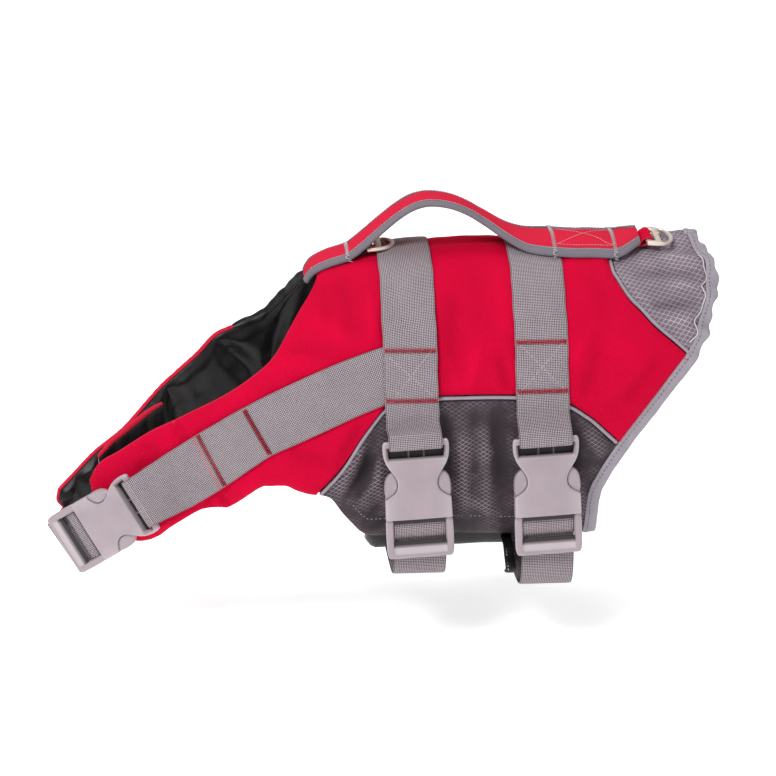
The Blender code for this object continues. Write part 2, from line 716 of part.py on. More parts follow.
def build_rear_binding(group):
    """The gathered tape round the rear opening, from one hem over the rump to the other."""
    half = joined(spread(RIM_RUMP, 20), spread(RIM_SIDE, 6), spread(RIM_BELLY, 4))
    places = [tuple(p) for p in reversed(mirrored(half))][:-1] + [tuple(p) for p in half]
    path = np.array([skin(x, angle) for x, angle in places])
    tangents = np.gradient(path, axis=0)
    rings = []
    for (x, angle), point, tangent in zip(places, path, tangents):
        normal = skin_normal(x, angle)
        out = np.cross(normal, tangent / np.linalg.norm(tangent))
        out *= 1 if out[0] > 0 else -1
        width = BINDING_WIDTH
        profile = ((BINDING_INNER, BINDING_UNDER), (width, BINDING_UNDER + 1), (width + 0.8, -1.6),
                   (width, BINDING_OVER - 1), (BINDING_INNER, BINDING_OVER))
        rings.append([point + out * a + normal * b for a, b in profile])
    loft("rear_binding", rings, "grey tape", group)


# Webbing
def girth_x(middle, angle):
    return middle + GIRTH_LEAN * max(abs(angle) - GIRTH_LEAN_FROM, 0)


def skin_row(middle, angle, lift, columns=3):
    offsets = np.linspace(-WEB_WIDTH / 2, WEB_WIDTH / 2, columns)
    return [skin(middle + d, angle, lift) for d in offsets]


def buckle_place(index):
    """The frame of a girth buckle: its origin, the way down and the way across."""
    top_x = GIRTH_STRAPS[index][2]
    along = (SIDE_BUCKLE_LEAN, 0.0, -1.0)
    across = (1.0, 0.0, SIDE_BUCKLE_LEAN)
    return (top_x, SIDE_BUCKLE_Y, SIDE_BUCKLE_TOP), along, across


def from_buckle(place, u, v, w):
    """A point given in a buckle's frame; w is out of its face."""
    origin, along, across = place
    point = frame_matrix(origin, along, across) @ Vector((u * MM, v * MM, w * MM))
    return np.array(point) / MM


def face_sign(place):
    """1 where w points away from the body, else -1."""
    origin, along, across = place
    w = Vector(along).cross(Vector(across))
    return 1 if w.y < 0 else -1


def buckle_row(place, u, w, columns=3):
    sign = face_sign(place)
    offsets = np.linspace(-WEB_WIDTH / 2, WEB_WIDTH / 2, columns)
    return [from_buckle(place, u, v, sign * w) for v in offsets]


# u and w of the webbing as it turns round a female buckle's bar
BAR_TURN = ((-4.5, 1.6), (-0.5, 3.8), (2.2, 4.5), (5.0, 4.6), (7.8, 4.0), (9.7, 2.2), (10.2, -0.2),
            (9.4, -2.8), (7.2, -4.3), (4.0, -4.5), (-1.5, -4.4))
# u and w of the webbing as it comes up behind a male buckle's end bar into its window
WINDOW_RUN = ((69.0, -0.2), (73.5, -0.8), (79.0, -3.2), (83.5, -4.9), (88.0, -5.2))


def build_girth_straps(group):
    for index, (label, middle, _) in enumerate(GIRTH_STRAPS):
        place = buckle_place(index)
        rows = []
        for u, w in reversed(BAR_TURN):
            rows.append(buckle_row(place, u, w))
        for angle in range(*GIRTH_ENDS, GIRTH_STEP):
            lift = row_value(WEB_LIFTS, abs(angle))
            over_chest_strap = label == "front" and CHEST_LAP[0] <= abs(angle) <= CHEST_LAP[1]
            if over_chest_strap or angle > LOOP_LAP:
                lift = LAP_LIFT
            rows.append(skin_row(girth_x(middle, angle), angle, lift))
        cloth_slab("girth_strap_" + label, rows, WEB_WALL, "grey webbing", group)


def build_girth_loops(group):
    for index, (label, middle, _) in enumerate(GIRTH_STRAPS):
        place = buckle_place(index)
        rows = [buckle_row(place, u, w) for u, w in WINDOW_RUN]
        table = (LOOP_FRONT, LOOP_REAR)[index]
        lower_x = from_buckle(place, MALE_OUTLINE[-2][1], 0, 0)[0]
        far_x = girth_x(middle, LOOP_END_ANGLES[0])
        for k, (y, z) in enumerate(table):
            x = lower_x + (far_x - lower_x) * k / len(table)
            offsets = np.linspace(-WEB_WIDTH / 2, WEB_WIDTH / 2, 3)
            rows.append([np.array([x + d, y, z]) for d in offsets])
        for angle in LOOP_END_ANGLES:
            rows.append(skin_row(girth_x(middle, angle), angle, LOOP_END_LIFT))
        cloth_slab("girth_loop_" + label, rows, WEB_WALL, "grey webbing", group)


def chest_rows(table, side, columns=5):
    fine = []
    for a, b in zip(table, table[1:]):
        fine += [np.array(a) + (np.array(b) - np.array(a)) * t for t in (0.0, 0.5)]
    fine.append(np.array(table[-1], float))
    rows = []
    for upper_x, upper_angle, lower_x, lower_angle in fine:
        row = []
        for t in np.linspace(0, 1, columns):
            x = upper_x + (lower_x - upper_x) * t
            angle = upper_angle + (lower_angle - upper_angle) * t
            row.append(skin(x, side * angle, WEB_LIFT))
        rows.append(row)
    return rows


def chest_place():
    along = Vector(CHEST_ALONG).normalized()
    origin = Vector(CHEST_BAR) - along * BAR_MIDDLE
    return tuple(origin), CHEST_ALONG, CHEST_ACROSS


def build_chest_straps(group):
    place = chest_place()
    rows = chest_rows(CHEST_STRAP_NEAR, NEAR)
    rows += [buckle_row(place, u, w, 5) for u, w in BAR_TURN[1:]]
    cloth_slab("chest_strap_near", rows, WEB_WALL, "grey webbing", group)

    rows = [buckle_row(place, u, w, 5) for u, w in WINDOW_RUN]
    far_rows = chest_rows(CHEST_STRAP_FAR, FAR)
    near_width = rows[-1][-1] - rows[-1][0]
    far_width = far_rows[-1][-1] - far_rows[-1][0]
    middles = smooth_rows([rows[-1][2], *CHEST_RUN, far_rows[-1][2]], step=9.0)[1:-1]
    for k, middle in enumerate(middles):
        t = (k + 1) / (len(middles) + 1)
        width = near_width * (1 - t) + far_width * t
        width *= WEB_WIDTH / np.linalg.norm(width)
        rows.append([middle + width * d for d in np.linspace(-0.5, 0.5, 5)])
    rows += [list(row) for row in reversed(far_rows)]
    cloth_slab("chest_strap_far", rows, WEB_WALL, "grey webbing", group)


# Buckles
def build_buckle(label, place, group, cutters):
    matrix = frame_matrix(*place)
    slot_half, slot_low, slot_high = FEMALE_SLOT
    outlines = [both_halves(FEMALE_OUTLINE), round_box(slot_half, slot_low, slot_high, 1.6)]
    female = plate_mesh(outlines, FEMALE_HALF, BUCKLE_EDGE)
    for vertex in female.vertices:
        u = vertex.co.x / MM
        half = float(np.interp(u, (14.0, 25.0), (FEMALE_BAR_HALF, FEMALE_HALF)))
        vertex.co.z *= half / FEMALE_HALF
    body = place_plate("buckle_socket_" + label, female, matrix, "grey plastic", group)
    room = plate_mesh([both_halves(PRONG_ROOM)], PRONG_ROOM_HALF, 0.0)
    cutter = place_plate("prong_room_" + label, room, matrix, "grey plastic", cutters)
    cutter.hide_render = True
    cutter.display_type = "WIRE"
    cut = body.modifiers.new("Prong room", "BOOLEAN")
    cut.operation = "DIFFERENCE"
    cut.object = cutter
    window_half, window_low, window_high = MALE_WINDOW
    outlines = [both_halves(MALE_OUTLINE), round_box(window_half, window_low, window_high, 1.2)]
    male = plate_mesh(outlines, MALE_HALF, BUCKLE_EDGE)
    place_plate("buckle_prong_" + label, male, matrix, "grey plastic", group)


def build_buckles(group, cutters):
    build_buckle("front", buckle_place(0), group, cutters)
    build_buckle("rear", buckle_place(1), group, cutters)
    build_buckle("chest", chest_place(), group, cutters)


# Handle
def handle_frames():
    """Smoothed rows of HANDLE with the band's middle point and the two ways across it."""
    fine = smooth_rows(HANDLE, step=13.0)
    middle = np.array([[row[0], row[1], body_at(row[0])[0] + row[2]] for row in fine])
    tangents = np.gradient(middle, axis=0)
    frames = []
    for row, point, tangent in zip(fine, middle, tangents):
        normal = np.cross(tangent, (0.0, 1.0, 0.0))
        normal /= -np.linalg.norm(normal)
        normal *= 1 if normal[2] > 0 else -1
        frames.append((row, point, normal))
    return frames


def handle_point(frame, v, w):
    """A point of the band: v across it from its middle, w out of it."""
    row, point, normal = frame
    spine, wide, _, half, _ = body_at(row[0])
    share = min(abs((row[1] + v) / half), 0.95)
    drop = (spine - wide) * (1 - math.sqrt(1 - share**2))
    return point + np.array([0, v, -row[3] * drop]) + normal * w


def build_handle(group):
    frames = handle_frames()
    rings = []
    for frame in frames:
        wall, half = frame[0][4], frame[0][5] - HANDLE_BINDING - 0.15
        edge = HANDLE_EDGE_WALL
        profile = ((-1.0, edge), (-0.5, wall * 0.93), (0, wall), (0.5, wall * 0.93), (1.0, edge))
        upper = [handle_point(frame, v * half, w / 2) for v, w in profile]
        lower = [handle_point(frame, v * half, -w / 2) for v, w in reversed(profile)]
        rings.append(upper + lower)
    loft("handle_band", rings, "red canvas", group)
    for sign, label in SIDES:
        rings = []
        for frame in frames:
            inner = frame[0][5] - HANDLE_BINDING + 0.15
            outer = frame[0][5]
            half = HANDLE_EDGE_WALL / 2
            profile = ((inner, half + 0.3), (outer - 1, half), (outer, 0), (outer - 1, -half),
                       (inner, -half - 0.3))
            rings.append([handle_point(frame, sign * v, w) for v, w in profile])
        loft("handle_binding_" + label, rings, "grey tape", group)


# D-rings and the tabs that hold them
def ring_outline():
    """The D, in v and u: a straight bar, then a half round of the full width."""
    straight = 6.0
    rows = [(RING_HALF - 1.5, -RING_BAR), (RING_HALF, -RING_BAR + 1.5), (RING_HALF, straight)]
    turns = 7
    for k in range(1, turns):
        angle = math.pi / 2 * k / turns
        rows.append((RING_HALF * math.cos(angle),
                     straight + (RING_LENGTH - straight) * math.sin(angle)))
    rows.append((0.6, RING_LENGTH))
    return both_halves(rows)


def ring_opening():
    wall = 4.0
    low = 9.2
    rows = [(RING_HALF - wall - 1.0, low)]
    turns = 5
    for k in range(turns):
        angle = math.pi / 2 * k / turns
        rows.append(((RING_HALF - wall) * math.cos(angle),
                     low + 0.8 + (RING_LENGTH - wall - low - 0.8) * math.sin(angle)))
    rows.append((0.6, RING_LENGTH - wall))
    return both_halves(rows)


def ring_place(x, y, height, droop, tilt):
    half = body_at(x)[3]
    cloth = skin_point(x, math.degrees(math.asin(y / half)))
    tip, turn = math.radians(droop), math.radians(tilt)
    along = (math.cos(tip), 0.0, -math.sin(tip))
    across = (0.0, math.cos(turn), math.sin(turn))
    return (x, y, cloth[2] + height), along, across


def build_rings(group):
    slot_half, slot_low, slot_high = RING_SLOT
    for label, x, y, height, droop, tilt, end in RINGS:
        place = ring_place(x, y, height, droop, tilt)
        outlines = [ring_outline(), round_box(slot_half, slot_low, slot_high, 1.0), ring_opening()]
        mesh = plate_mesh(outlines, RING_WALL / 2, 0.7)
        place_plate("d_ring_" + label, mesh, frame_matrix(*place), "nickel", group)
        layer = TAB_WALL / 2 + 0.15
        rows = [(-10.5, end - layer), (-6.5, end - layer), (-3.0, (end - layer - TAB_RADIUS) / 2)]
        for k in range(7):
            turn = math.pi * k / 6
            rows.append((TAB_RADIUS * math.sin(turn), -TAB_RADIUS * math.cos(turn)))
        rows += [(-2.4, TAB_RADIUS - 0.9), (-4.6, 0.4), (-6.9, end + layer), (-10.5, end + layer)]
        grid = []
        for u, w in rows:
            offsets = np.linspace(-TAB_WIDTH / 2, TAB_WIDTH / 2, 2)
            grid.append([from_buckle(place, u, v, w) for v in offsets])
        cloth_slab("d_ring_tab_" + label, grid, TAB_WALL, "grey webbing", group)


# Small pieces
def build_fold(group):
    grid = []
    for x, y, top, low in smooth_rows(FOLD, step=12.0):
        row = []
        for t in np.linspace(0, 1, 6):
            bow = 3.0 * math.sin(math.pi * t)
            row.append((x + 5.0 * t, y - bow, top + (low - top) * t))
        grid.append(row)
    cloth_slab("chest_flap_fold", grid, FOLD_WALL, "red canvas", group)


def build_keeper(group):
    middle, width, wall = KEEPER
    edges = (middle - width / 2, middle + width / 2)
    rows = [[skin(x, angle, lift) for x in edges] for angle, lift in KEEPER_SEWN]
    rows += [[np.array([x, y, z]) for x in edges] for y, z in KEEPER_HANGING]
    cloth_slab("keeper_tab", rows, wall, "black satin", group)


def main():
    clear_scene()
    jacket = new_collection("Dog life jacket")
    cutters = new_collection("Cutters")
    for name in COLOURS:
        MATERIALS[name] = new_material(name)
    build_back(jacket)
    build_sides(jacket)
    build_rump(jacket)
    build_lining(jacket)
    build_belly(jacket)
    build_pipings(jacket)
    build_rear_binding(jacket)
    build_girth_straps(jacket)
    build_girth_loops(jacket)
    build_chest_straps(jacket)
    build_buckles(jacket, cutters)
    build_handle(jacket)
    build_rings(jacket)
    build_fold(jacket)
    build_keeper(jacket)


MATERIALS = {}
main()
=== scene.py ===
"""Dresses the dog life jacket: cloth panels, webbing, buckles, handle, rings and sewing.

Sizes in the tables are millimetres and become metres where a mesh is made. A place on the
garment is an x and an angle round the body: 0 is the spine, positive the far side.
"""

import math

import bmesh
import bpy
import numpy as np
from mathutils import Matrix, Vector
from mathutils.kdtree import KDTree


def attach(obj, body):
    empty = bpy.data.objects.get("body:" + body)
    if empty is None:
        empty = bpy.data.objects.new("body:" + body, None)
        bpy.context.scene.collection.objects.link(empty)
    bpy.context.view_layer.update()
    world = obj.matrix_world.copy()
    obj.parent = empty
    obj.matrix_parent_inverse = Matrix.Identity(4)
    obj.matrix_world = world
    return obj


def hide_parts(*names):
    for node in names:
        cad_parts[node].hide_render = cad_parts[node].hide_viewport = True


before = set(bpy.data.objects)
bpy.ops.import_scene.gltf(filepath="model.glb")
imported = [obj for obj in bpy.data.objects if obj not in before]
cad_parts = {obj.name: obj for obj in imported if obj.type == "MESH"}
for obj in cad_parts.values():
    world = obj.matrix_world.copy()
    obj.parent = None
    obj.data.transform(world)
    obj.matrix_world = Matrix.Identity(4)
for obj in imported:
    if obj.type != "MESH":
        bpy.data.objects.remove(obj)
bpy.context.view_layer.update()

bl_info = {
    "name": "Dog life jacket",
    "version": (1, 0, 0),
    "blender": (4, 5, 0),
    "location": "View3D > Sidebar > Jacket",
    "description": "Builds the cloth, webbing, buckles and sewing of a dog life jacket",
    "category": "Object",
}

MM = 0.001
NEAR = -1
FAR = 1
SIDES = ((NEAR, "near"), (FAR, "far"))

# The body that the cloth is cut to go round
# x, height of the spine, height of the widest line, height of the belly, half width, roundness
BODY = np.array((
    (-340, -128, -212, -285, 15, 2.0), (-320, -118, -205, -280, 29, 2.0),
    (-300, -107, -196, -274, 41, 2.0), (-270, -88, -180, -265, 55, 2.0),
    (-240, -68, -165, -256, 66, 2.0), (-200, -42, -146, -246, 77, 2.0),
    (-165, -25, -132, -238, 83, 2.2), (-135, -14, -122, -233, 85, 2.6),
    (-100, -4, -112, -231, 85, 3.2), (-60, 3, -104, -230, 85, 3.4),
    (-20, 5, -100, -229, 85, 3.4), (40, 6, -98, -229, 85, 3.4), (90, 6, -96, -229, 84, 3.4),
    (130, 7, -92, -226, 80, 3.0), (165, 8, -86, -218, 75, 2.6), (200, 9, -80, -208, 69, 2.4),
), float)

# Outlines of the cut pieces, each row an x and an angle
NECK_NEAR = (
    (-303, 52), (-295, 45), (-278, 47), (-254, 48), (-237, 50), (-223, 51), (-204, 52),
    (-186, 51), (-166, 47), (-156, 42), (-148, 35), (-139, 27), (-129, 18), (-124, 9), (-123, 0),
)
FRONT_NEAR = ((-303, 52), (-299, 75), (-288, 100), (-272, 124))
LOWER_NEAR = (
    (-272, 124), (-261, 126), (-250, 124), (-240, 119), (-219, 113), (-205, 114), (-197, 116),
    (-188, 114), (-172, 109), (-163, 110), (-152, 112), (-146, 115), (-136, 119), (-127, 121),
)
NECK_FAR = (
    (-333, 57), (-318, 55), (-303, 54), (-279, 57), (-250, 49), (-221, 45), (-205, 40),
    (-184, 43), (-166, 44), (-148, 34), (-139, 27), (-129, 18), (-124, 9), (-123, 0),
)
FRONT_FAR = ((-333, 57), (-334, 78), (-330, 101))
LOWER_FAR = (
    (-330, 101), (-316, 104), (-300, 107), (-285, 112), (-270, 119), (-250, 121), (-219, 113),
    (-197, 115), (-172, 109), (-152, 112), (-127, 121),
)
ARCH_FRONT = ((-127, 121), (-108, 111), (-93, 98), (-77, 86), (-62, 83), (-40, 84))
ARCH_REAR = (
    (-40, 84), (-14, 85), (17, 86), (40, 88), (58, 91), (78, 100), (90, 107.5), (101, 114.5),
)
SPINE_FRONT = ((-123, 0), (-40, 0))
SPINE_REAR = ((-40, 0), (99, 0))
SPINE_RUMP = ((99, 0), (163, 0))
RUMP_SEAM = (
    (99, 0), (99, 23), (102, 30), (110, 40), (118, 46), (128, 54), (143, 64), (154, 72),
)
RIM_RUMP = (
    (163, 0), (165, 9), (169, 17), (172, 26), (171, 38), (168, 46), (162, 60), (154, 72),
)
RIM_SIDE = ((154, 72), (140, 83), (121, 99), (101, 114.5))
RIM_BELLY = ((101, 114.5), (87, 126), (80, 134), (79, 150))
HEM = (
    (-127, 121), (-118, 124), (-109, 132), (-101, 138), (-93, 143.5), (-84, 145.5), (-42, 147),
    (-11, 148.5), (20, 149.5), (79, 150),
)
# The belly flap: the angle from the spine on the near side, then x of its front and rear edge
BELLY_FLAP = ((130, -66, 70), (138, -78, 74), (146, -88, 74), (160, -90, 74), (180, -84, 74),
              (226, -84, 74))
CHANNEL = ((-237, 50), (-215, 82), (-193, 114))

PANEL_WALL = 3.0
PANEL_PUFF = 3.0
PUFF_REACH = 14.0
SPINE_REACH = 28.0
SIDE_WALL = 2.0
SIDE_PUFF = 1.2
RUMP_PUFF = 1.6
LINING_TOP = -4.6
LINING_WALL = 1.0
BELLY_TOP = -7.0
BELLY_WALL = 2.2
SEAM_GAP = 2.1
EDGE_GAP = 0.15
PIPING_LIFT = 0.3
CORNER_TRIM = 2.0
RUFFLE_HEIGHT = 3.4
RUFFLE_ANGLE = 20.0
RUFFLE_END = 70.0
RUFFLE_FADE = 12.0
RUFFLE_REACH = 34.0
FINE = 4

# Webbing
WEB_WALL = 1.8
WEB_LIFT = 4.5
LAP_LIFT = 6.7
WEB_LIFTS = ((0, 2.6), (6, 3.9), (12, WEB_LIFT))
GIRTH_STRAPS = (
    # name, x of the middle line, x of the buckle's top
    ("front", -58.0, -55.6),
    ("rear", 40.5, 42.4),
)
GIRTH_LEAN_FROM = 60
GIRTH_LEAN = 0.03
GIRTH_ENDS = (-94, 134)
CHEST_LAP = (44, 92)
LOOP_LAP = 100
LOOP_END_ANGLES = (140, 132, 124, 116)
LOOP_END_LIFT = 4.1
# x and angle of the strap's upper edge, then of its lower edge
CHEST_STRAP_NEAR = (
    (-59, 54, -56, 79), (-95, 56, -80, 83), (-140, 59, -122, 88.5), (-184, 62.5, -164, 92.5),
    (-222, 64, -201, 103.5), (-243, 65.5, -222, 108.5),
)
CHEST_STRAP_FAR = (
    (-59, 54, -56, 79), (-95, 55, -80, 82), (-140, 57, -122, 86), (-184, 60, -164, 89.5),
    (-222, 62, -201, 101), (-250, 64, -228, 110), (-276, 68, -254, 117), (-296, 74, -275, 122),
)
LOOP_FRONT = (
    (-94.0, -213), (-94.5, -222), (-91, -229.5), (-82, -233), (-60, -235), (-30, -236),
    (0, -236), (30, -236), (60, -235), (78, -231), (87, -223), (87, -210),
)
LOOP_REAR = (
    (-94.0, -213), (-96, -226), (-94, -237), (-85, -244), (-60, -246), (-30, -245.5),
    (0, -244.5), (30, -243), (60, -239), (80, -233), (89, -223), (88, -210),
)
CHEST_RUN = ((-330, 2, -237), (-325, 18, -237), (-318, 33, -231), (-309, 42.5, -222))

# Buckles, in their own frame: u runs from the webbing bar to the far end, v is across
BAR_MIDDLE = 4.2
CHEST_BAR = (-263.4, -77.5, -173.2)
CHEST_ALONG = (-0.683, 0.469, -0.560)
CHEST_ACROSS = (0.510, -0.245, -0.827)
SIDE_BUCKLE_Y = -100.5
SIDE_BUCKLE_TOP = -119.7
SIDE_BUCKLE_LEAN = 0.052
BAR_TURN = (
    (-4.5, 1.6), (-0.8, 3.8), (1.6, 4.3), (3.6, 4.2), (5.3, 3.3), (6.5, 1.8), (6.8, -0.2),
    (6.3, -2.4), (5.0, -3.8), (2.8, -4.3), (-1.5, -4.3),
)
WINDOW_RUN = (
    (65.8, -3.2), (66.8, -1.0), (68.4, -0.2), (72.5, -0.5), (76.8, -2.4), (80.5, -4.8),
    (88.0, -5.2),
)
LOOP_START = 93.2

# Handle: x, shift to the side, height over the spine, share of the back's curve, wall, half width
HANDLE = (
    (-133, -2, -2.5, 1.0, 3.6, 17.5), (-128.5, -2, 3.6, 1.0, 4.6, 19.0),
    (-118, -2, 6.4, 1.0, 7.0, 20.0), (-107, -2, 7.0, 1.0, 7.0, 20.0),
    (-100, -2, 7.6, 1.0, 5.2, 20.0), (-94, -2, 10.8, 1.1, 5.8, 20.0),
    (-86, -2, 15.6, 1.0, 6.0, 20.0), (-76, -2, 22.0, 0.7, 7.0, 20.0),
    (-62, -2, 30.5, 0.35, 7.0, 20.0), (-50, -2, 36.2, 0.3, 7.0, 20.0),
    (-38, -2, 38.2, 0.3, 7.0, 20.0), (-23, -2, 35.8, 0.3, 7.0, 20.0),
    (-9, -2, 30.0, 0.35, 7.0, 20.0), (5, -4, 22.0, 0.5, 7.0, 20.0),
    (20, -8, 13.8, 0.75, 6.6, 20.5), (34, -12, 9.6, 1.0, 6.4, 21.0),
    (48, -15, 9.0, 1.0, 6.4, 21.5), (56, -16, 9.0, 1.0, 5.2, 21.5),
    (70, -16, 7.8, 1.0, 6.8, 21.5), (86, -16, 7.6, 1.0, 6.8, 21.5),
    (103, -16, 6.8, 1.0, 5.2, 21.5), (111, -15, 7.8, 1.0, 6.4, 20.0),
    (118, -14, 8.6, 1.0, 5.6, 16.5), (123, -14, 9.4, 1.0, 4.2, 13.5),
)
HANDLE_BINDING = 5.6
HANDLE_EDGE_WALL = 3.6

# D-rings: body, x, shift to the side, height over the cloth, droop, tilt, height of the tab's end
RINGS = (
    ("front", -84.5, -3.0, 6.8, -5.5, 0.0, -4.2),
    ("rear", 130.0, -14.0, 7.6, 4.0, 9.0, -3.9),
)
RING_HALF = 16.0
RING_BAR = 1.9
RING_LENGTH = 20.5
RING_WALL = 3.2
RING_RIM = 3.3
# Width and finish of each ring's tab
TABS = {"front": (14.5, "handle_tape"), "rear": (20.0, "canvas")}
TAB_WALL = 1.2
TAB_RADIUS = 2.9

# The folded flap end: x, y, height of its upper and of its lower edge
FOLD = (
    (-296, -31, -152, -198), (-286, -23, -143, -199), (-272, -17.5, -133, -196),
    (-258, -13.5, -123, -190), (-246, -11, -116, -182),
)
FOLD_WALL = 5.0
FOLD_CANVAS_FROM = 0.62
# The keeper: x of its middle, width, wall; angle and lift where it is sewn; y and z of its end
KEEPER = (19.0, 8.0, 1.6)
KEEPER_SEWN = ((-162, -5.9), (-156, -5.9))
KEEPER_HANGING = ((-73, -216), (-83, -222), (-90, -226), (-92.5, -229), (-90, -232.5), (-85, -233))


# The body's surface
def unit(vectors):
    """The same directions, each of length one."""
    return vectors / np.linalg.norm(vectors, axis=-1, keepdims=True)


def body_slopes():
    """How fast each measure of BODY changes along x, from the rows on both sides."""
    numbers = np.arange(len(BODY))
    before = BODY[np.maximum(numbers - 1, 0)]
    after = BODY[np.minimum(numbers + 1, len(BODY) - 1)]
    return (after[:, 1:] - before[:, 1:]) / (after[:, :1] - before[:, :1])


BODY_SLOPES = body_slopes()


def body_at(x):
    """The body's measures at each x, smoothly blended between the rows of BODY."""
    xs = BODY[:, 0]
    x = np.clip(np.asarray(x, float), xs[0], xs[-1])
    i = np.clip(np.searchsorted(xs, x) - 1, 0, len(xs) - 2)
    h = (xs[i + 1] - xs[i])[..., None]
    t = (x - xs[i])[..., None] / h
    return ((2 * t**3 - 3 * t**2 + 1) * BODY[i, 1:] + (t**3 - 2 * t**2 + t) * BODY_SLOPES[i] * h
            + (3 * t**2 - 2 * t**3) * BODY[i + 1, 1:] + (t**3 - t**2) * BODY_SLOPES[i + 1] * h)


def skin_point(x, angle):
    """The body's surface: round above its widest line, squarer below it."""
    x, turn = np.broadcast_arrays(np.asarray(x, float), np.radians(np.asarray(angle, float)))
    spine, wide, belly, half, power = np.moveaxis(body_at(x), -1, 0)
    s, c = np.sin(turn), np.cos(turn)
    n = np.where(c >= 0, 2.0, power)
    reach = np.where(c >= 0, spine - wide, wide - belly)
    r = ((np.abs(s) / half) ** n + (np.abs(c) / reach) ** n) ** (-1 / n)
    return np.stack([x, r * s, wide + r * c], axis=-1)


X_REACH = 0.5
ANGLE_REACH = 0.6


def skin_normal(x, angle):
    """The way straight out of the body's surface at each place."""
    x, angle = np.broadcast_arrays(np.asarray(x, float), np.asarray(angle, float))
    along = skin_point(x + X_REACH, angle) - skin_point(x - X_REACH, angle)
    round_body = skin_point(x, angle + ANGLE_REACH) - skin_point(x, angle - ANGLE_REACH)
    normal = unit(np.cross(along, round_body))
    turn = np.radians(angle)
    outward = normal[..., 1] * np.sin(turn) + normal[..., 2] * np.cos(turn)
    return normal * np.where(outward > 0, 1.0, -1.0)[..., None]


def ruffle_height(x, angle):
    """How high the gathered edge's waves stand at a place on the rump."""
    turn = np.abs(angle)
    rows = np.array(RIM_RUMP, float)
    edge = np.interp(turn, rows[:, 1], rows[:, 0])
    near_edge = np.clip((x - edge + RUFFLE_REACH) / RUFFLE_REACH, 0.0, 1.2)
    fade = np.clip((RUFFLE_END - turn) / RUFFLE_FADE, 0.0, 1.0)
    return RUFFLE_HEIGHT * near_edge**2 * fade


def ruffle(x, angle):
    return ruffle_height(x, angle) * np.sin(2 * np.pi * np.abs(angle) / RUFFLE_ANGLE)


def skin(x, angle, lift=0.0):
    """A place on the cloth, lifted off the body, with the waves of the gathered rim."""
    x, angle, lift = np.broadcast_arrays(
        np.asarray(x, float), np.asarray(angle, float), np.asarray(lift, float))
    rise = (lift + ruffle(x, angle))[..., None]
    return skin_point(x, angle) + rise * skin_normal(x, angle)


def lining_skin(x, angle):
    return skin_point(x, angle) - ruffle_height(x, angle)[..., None] * skin_normal(x, angle)


def girth_arc(x, angle, steps=24):
    """The way round the body from the spine to each place, for laying patterns on cloth."""
    shares = np.linspace(0, 1, steps + 1)
    points = skin_point(np.asarray(x)[..., None], np.asarray(angle)[..., None] * shares)
    way = np.linalg.norm(np.diff(points, axis=-2), axis=-1).sum(axis=-1)
    return way * np.sign(angle)


# Curves on the surface, by rows of x and angle
def skin_of(places, lift=0.0):
    return skin(places[:, 0], places[:, 1], lift)


def normals_of(places):
    return skin_normal(places[:, 0], places[:, 1])


def along_lengths(points):
    """How far along a run of points each of them lies."""
    return np.concatenate([[0], np.cumsum(np.linalg.norm(np.diff(points, axis=0), axis=1))])


def catmull_rom(rows, pieces):
    """A smooth curve through rows; pieces gives the number of steps from one row to the next."""
    rows = np.array(rows, float)
    padded = np.concatenate([2 * rows[:1] - rows[1:2], rows, 2 * rows[-1:] - rows[-2:-1]])
    result = []
    for a, b, c, d in zip(padded, padded[1:], padded[2:], padded[3:]):
        count = pieces(b, c)
        for k in range(count):
            t = k / count
            result.append(0.5 * (2 * b + (c - a) * t + (2 * a - 5 * b + 4 * c - d) * t**2
                                 + (3 * b - a - 3 * c + d) * t**3))
    return np.array(result + [rows[-1]])


def smooth_rows(rows, step=2.0):
    """A smooth curve through the rows of a table, in steps of about one size."""
    return catmull_rom(rows, lambda here, there: max(2, int(np.linalg.norm(there - here) / step)))


def refined(grid, count):
    """Put count - 1 smooth rows between each two rows of a grid of points."""
    return catmull_rom(grid, lambda here, there: count)


def places_along(rows):
    """Close places on a smooth curve, and how far along the skin each of them lies."""
    fine = smooth_rows(rows)
    return fine, along_lengths(skin_point(fine[:, 0], fine[:, 1]))


def spread(rows, count, start=0.0, end=0.0):
    """Count + 1 places an equal way apart on a smooth curve, with its ends held back."""
    fine, lengths = places_along(rows)
    marks = np.linspace(start, lengths[-1] - end, count + 1)
    return np.column_stack([np.interp(marks, lengths, column) for column in fine.T])


def joined(*runs):
    """Runs that share their end places, as one run."""
    return np.vstack([runs[0]] + [run[1:] for run in runs[1:]])


def on_side(rows, side):
    return np.array(rows, float) * (1, side)


def over_spine(half):
    """A whole curve from the near side to the far one, from its far half."""
    return np.vstack([on_side(half, NEAR)[:0:-1], half])


def patch(top, low, front, rear):
    """A grid between four lists of places: a Coons patch in x and angle."""
    u = np.linspace(0, 1, len(top))[:, None, None]
    v = np.linspace(0, 1, len(front))[None, :, None]
    edges = ((1 - v) * top[:, None] + v * low[:, None] + (1 - u) * front[None] + u * rear[None])
    corners = ((1 - u) * (1 - v) * top[0] + u * (1 - v) * top[-1]
               + (1 - u) * v * low[0] + u * v * low[-1])
    return edges - corners


def row_value(rows, key, column=1):
    keys = [row[0] for row in rows]
    return float(np.interp(key, keys, [row[column] for row in rows]))


# Meshes
def add_object(name, data):
    obj = bpy.data.objects.new(name, data)
    bpy.context.scene.collection.objects.link(obj)
    return obj


def reworked(mesh, work):
    """Put a mesh through one piece of bmesh work."""
    cleaner = bmesh.new()
    cleaner.from_mesh(mesh)
    work(cleaner)
    cleaner.to_mesh(mesh)
    cleaner.free()
    return mesh


def turn_outwards(cleaner):
    bmesh.ops.recalc_face_normals(cleaner, faces=cleaner.faces)
    if cleaner.calc_volume(signed=True) < 0:
        bmesh.ops.reverse_faces(cleaner, faces=cleaner.faces)


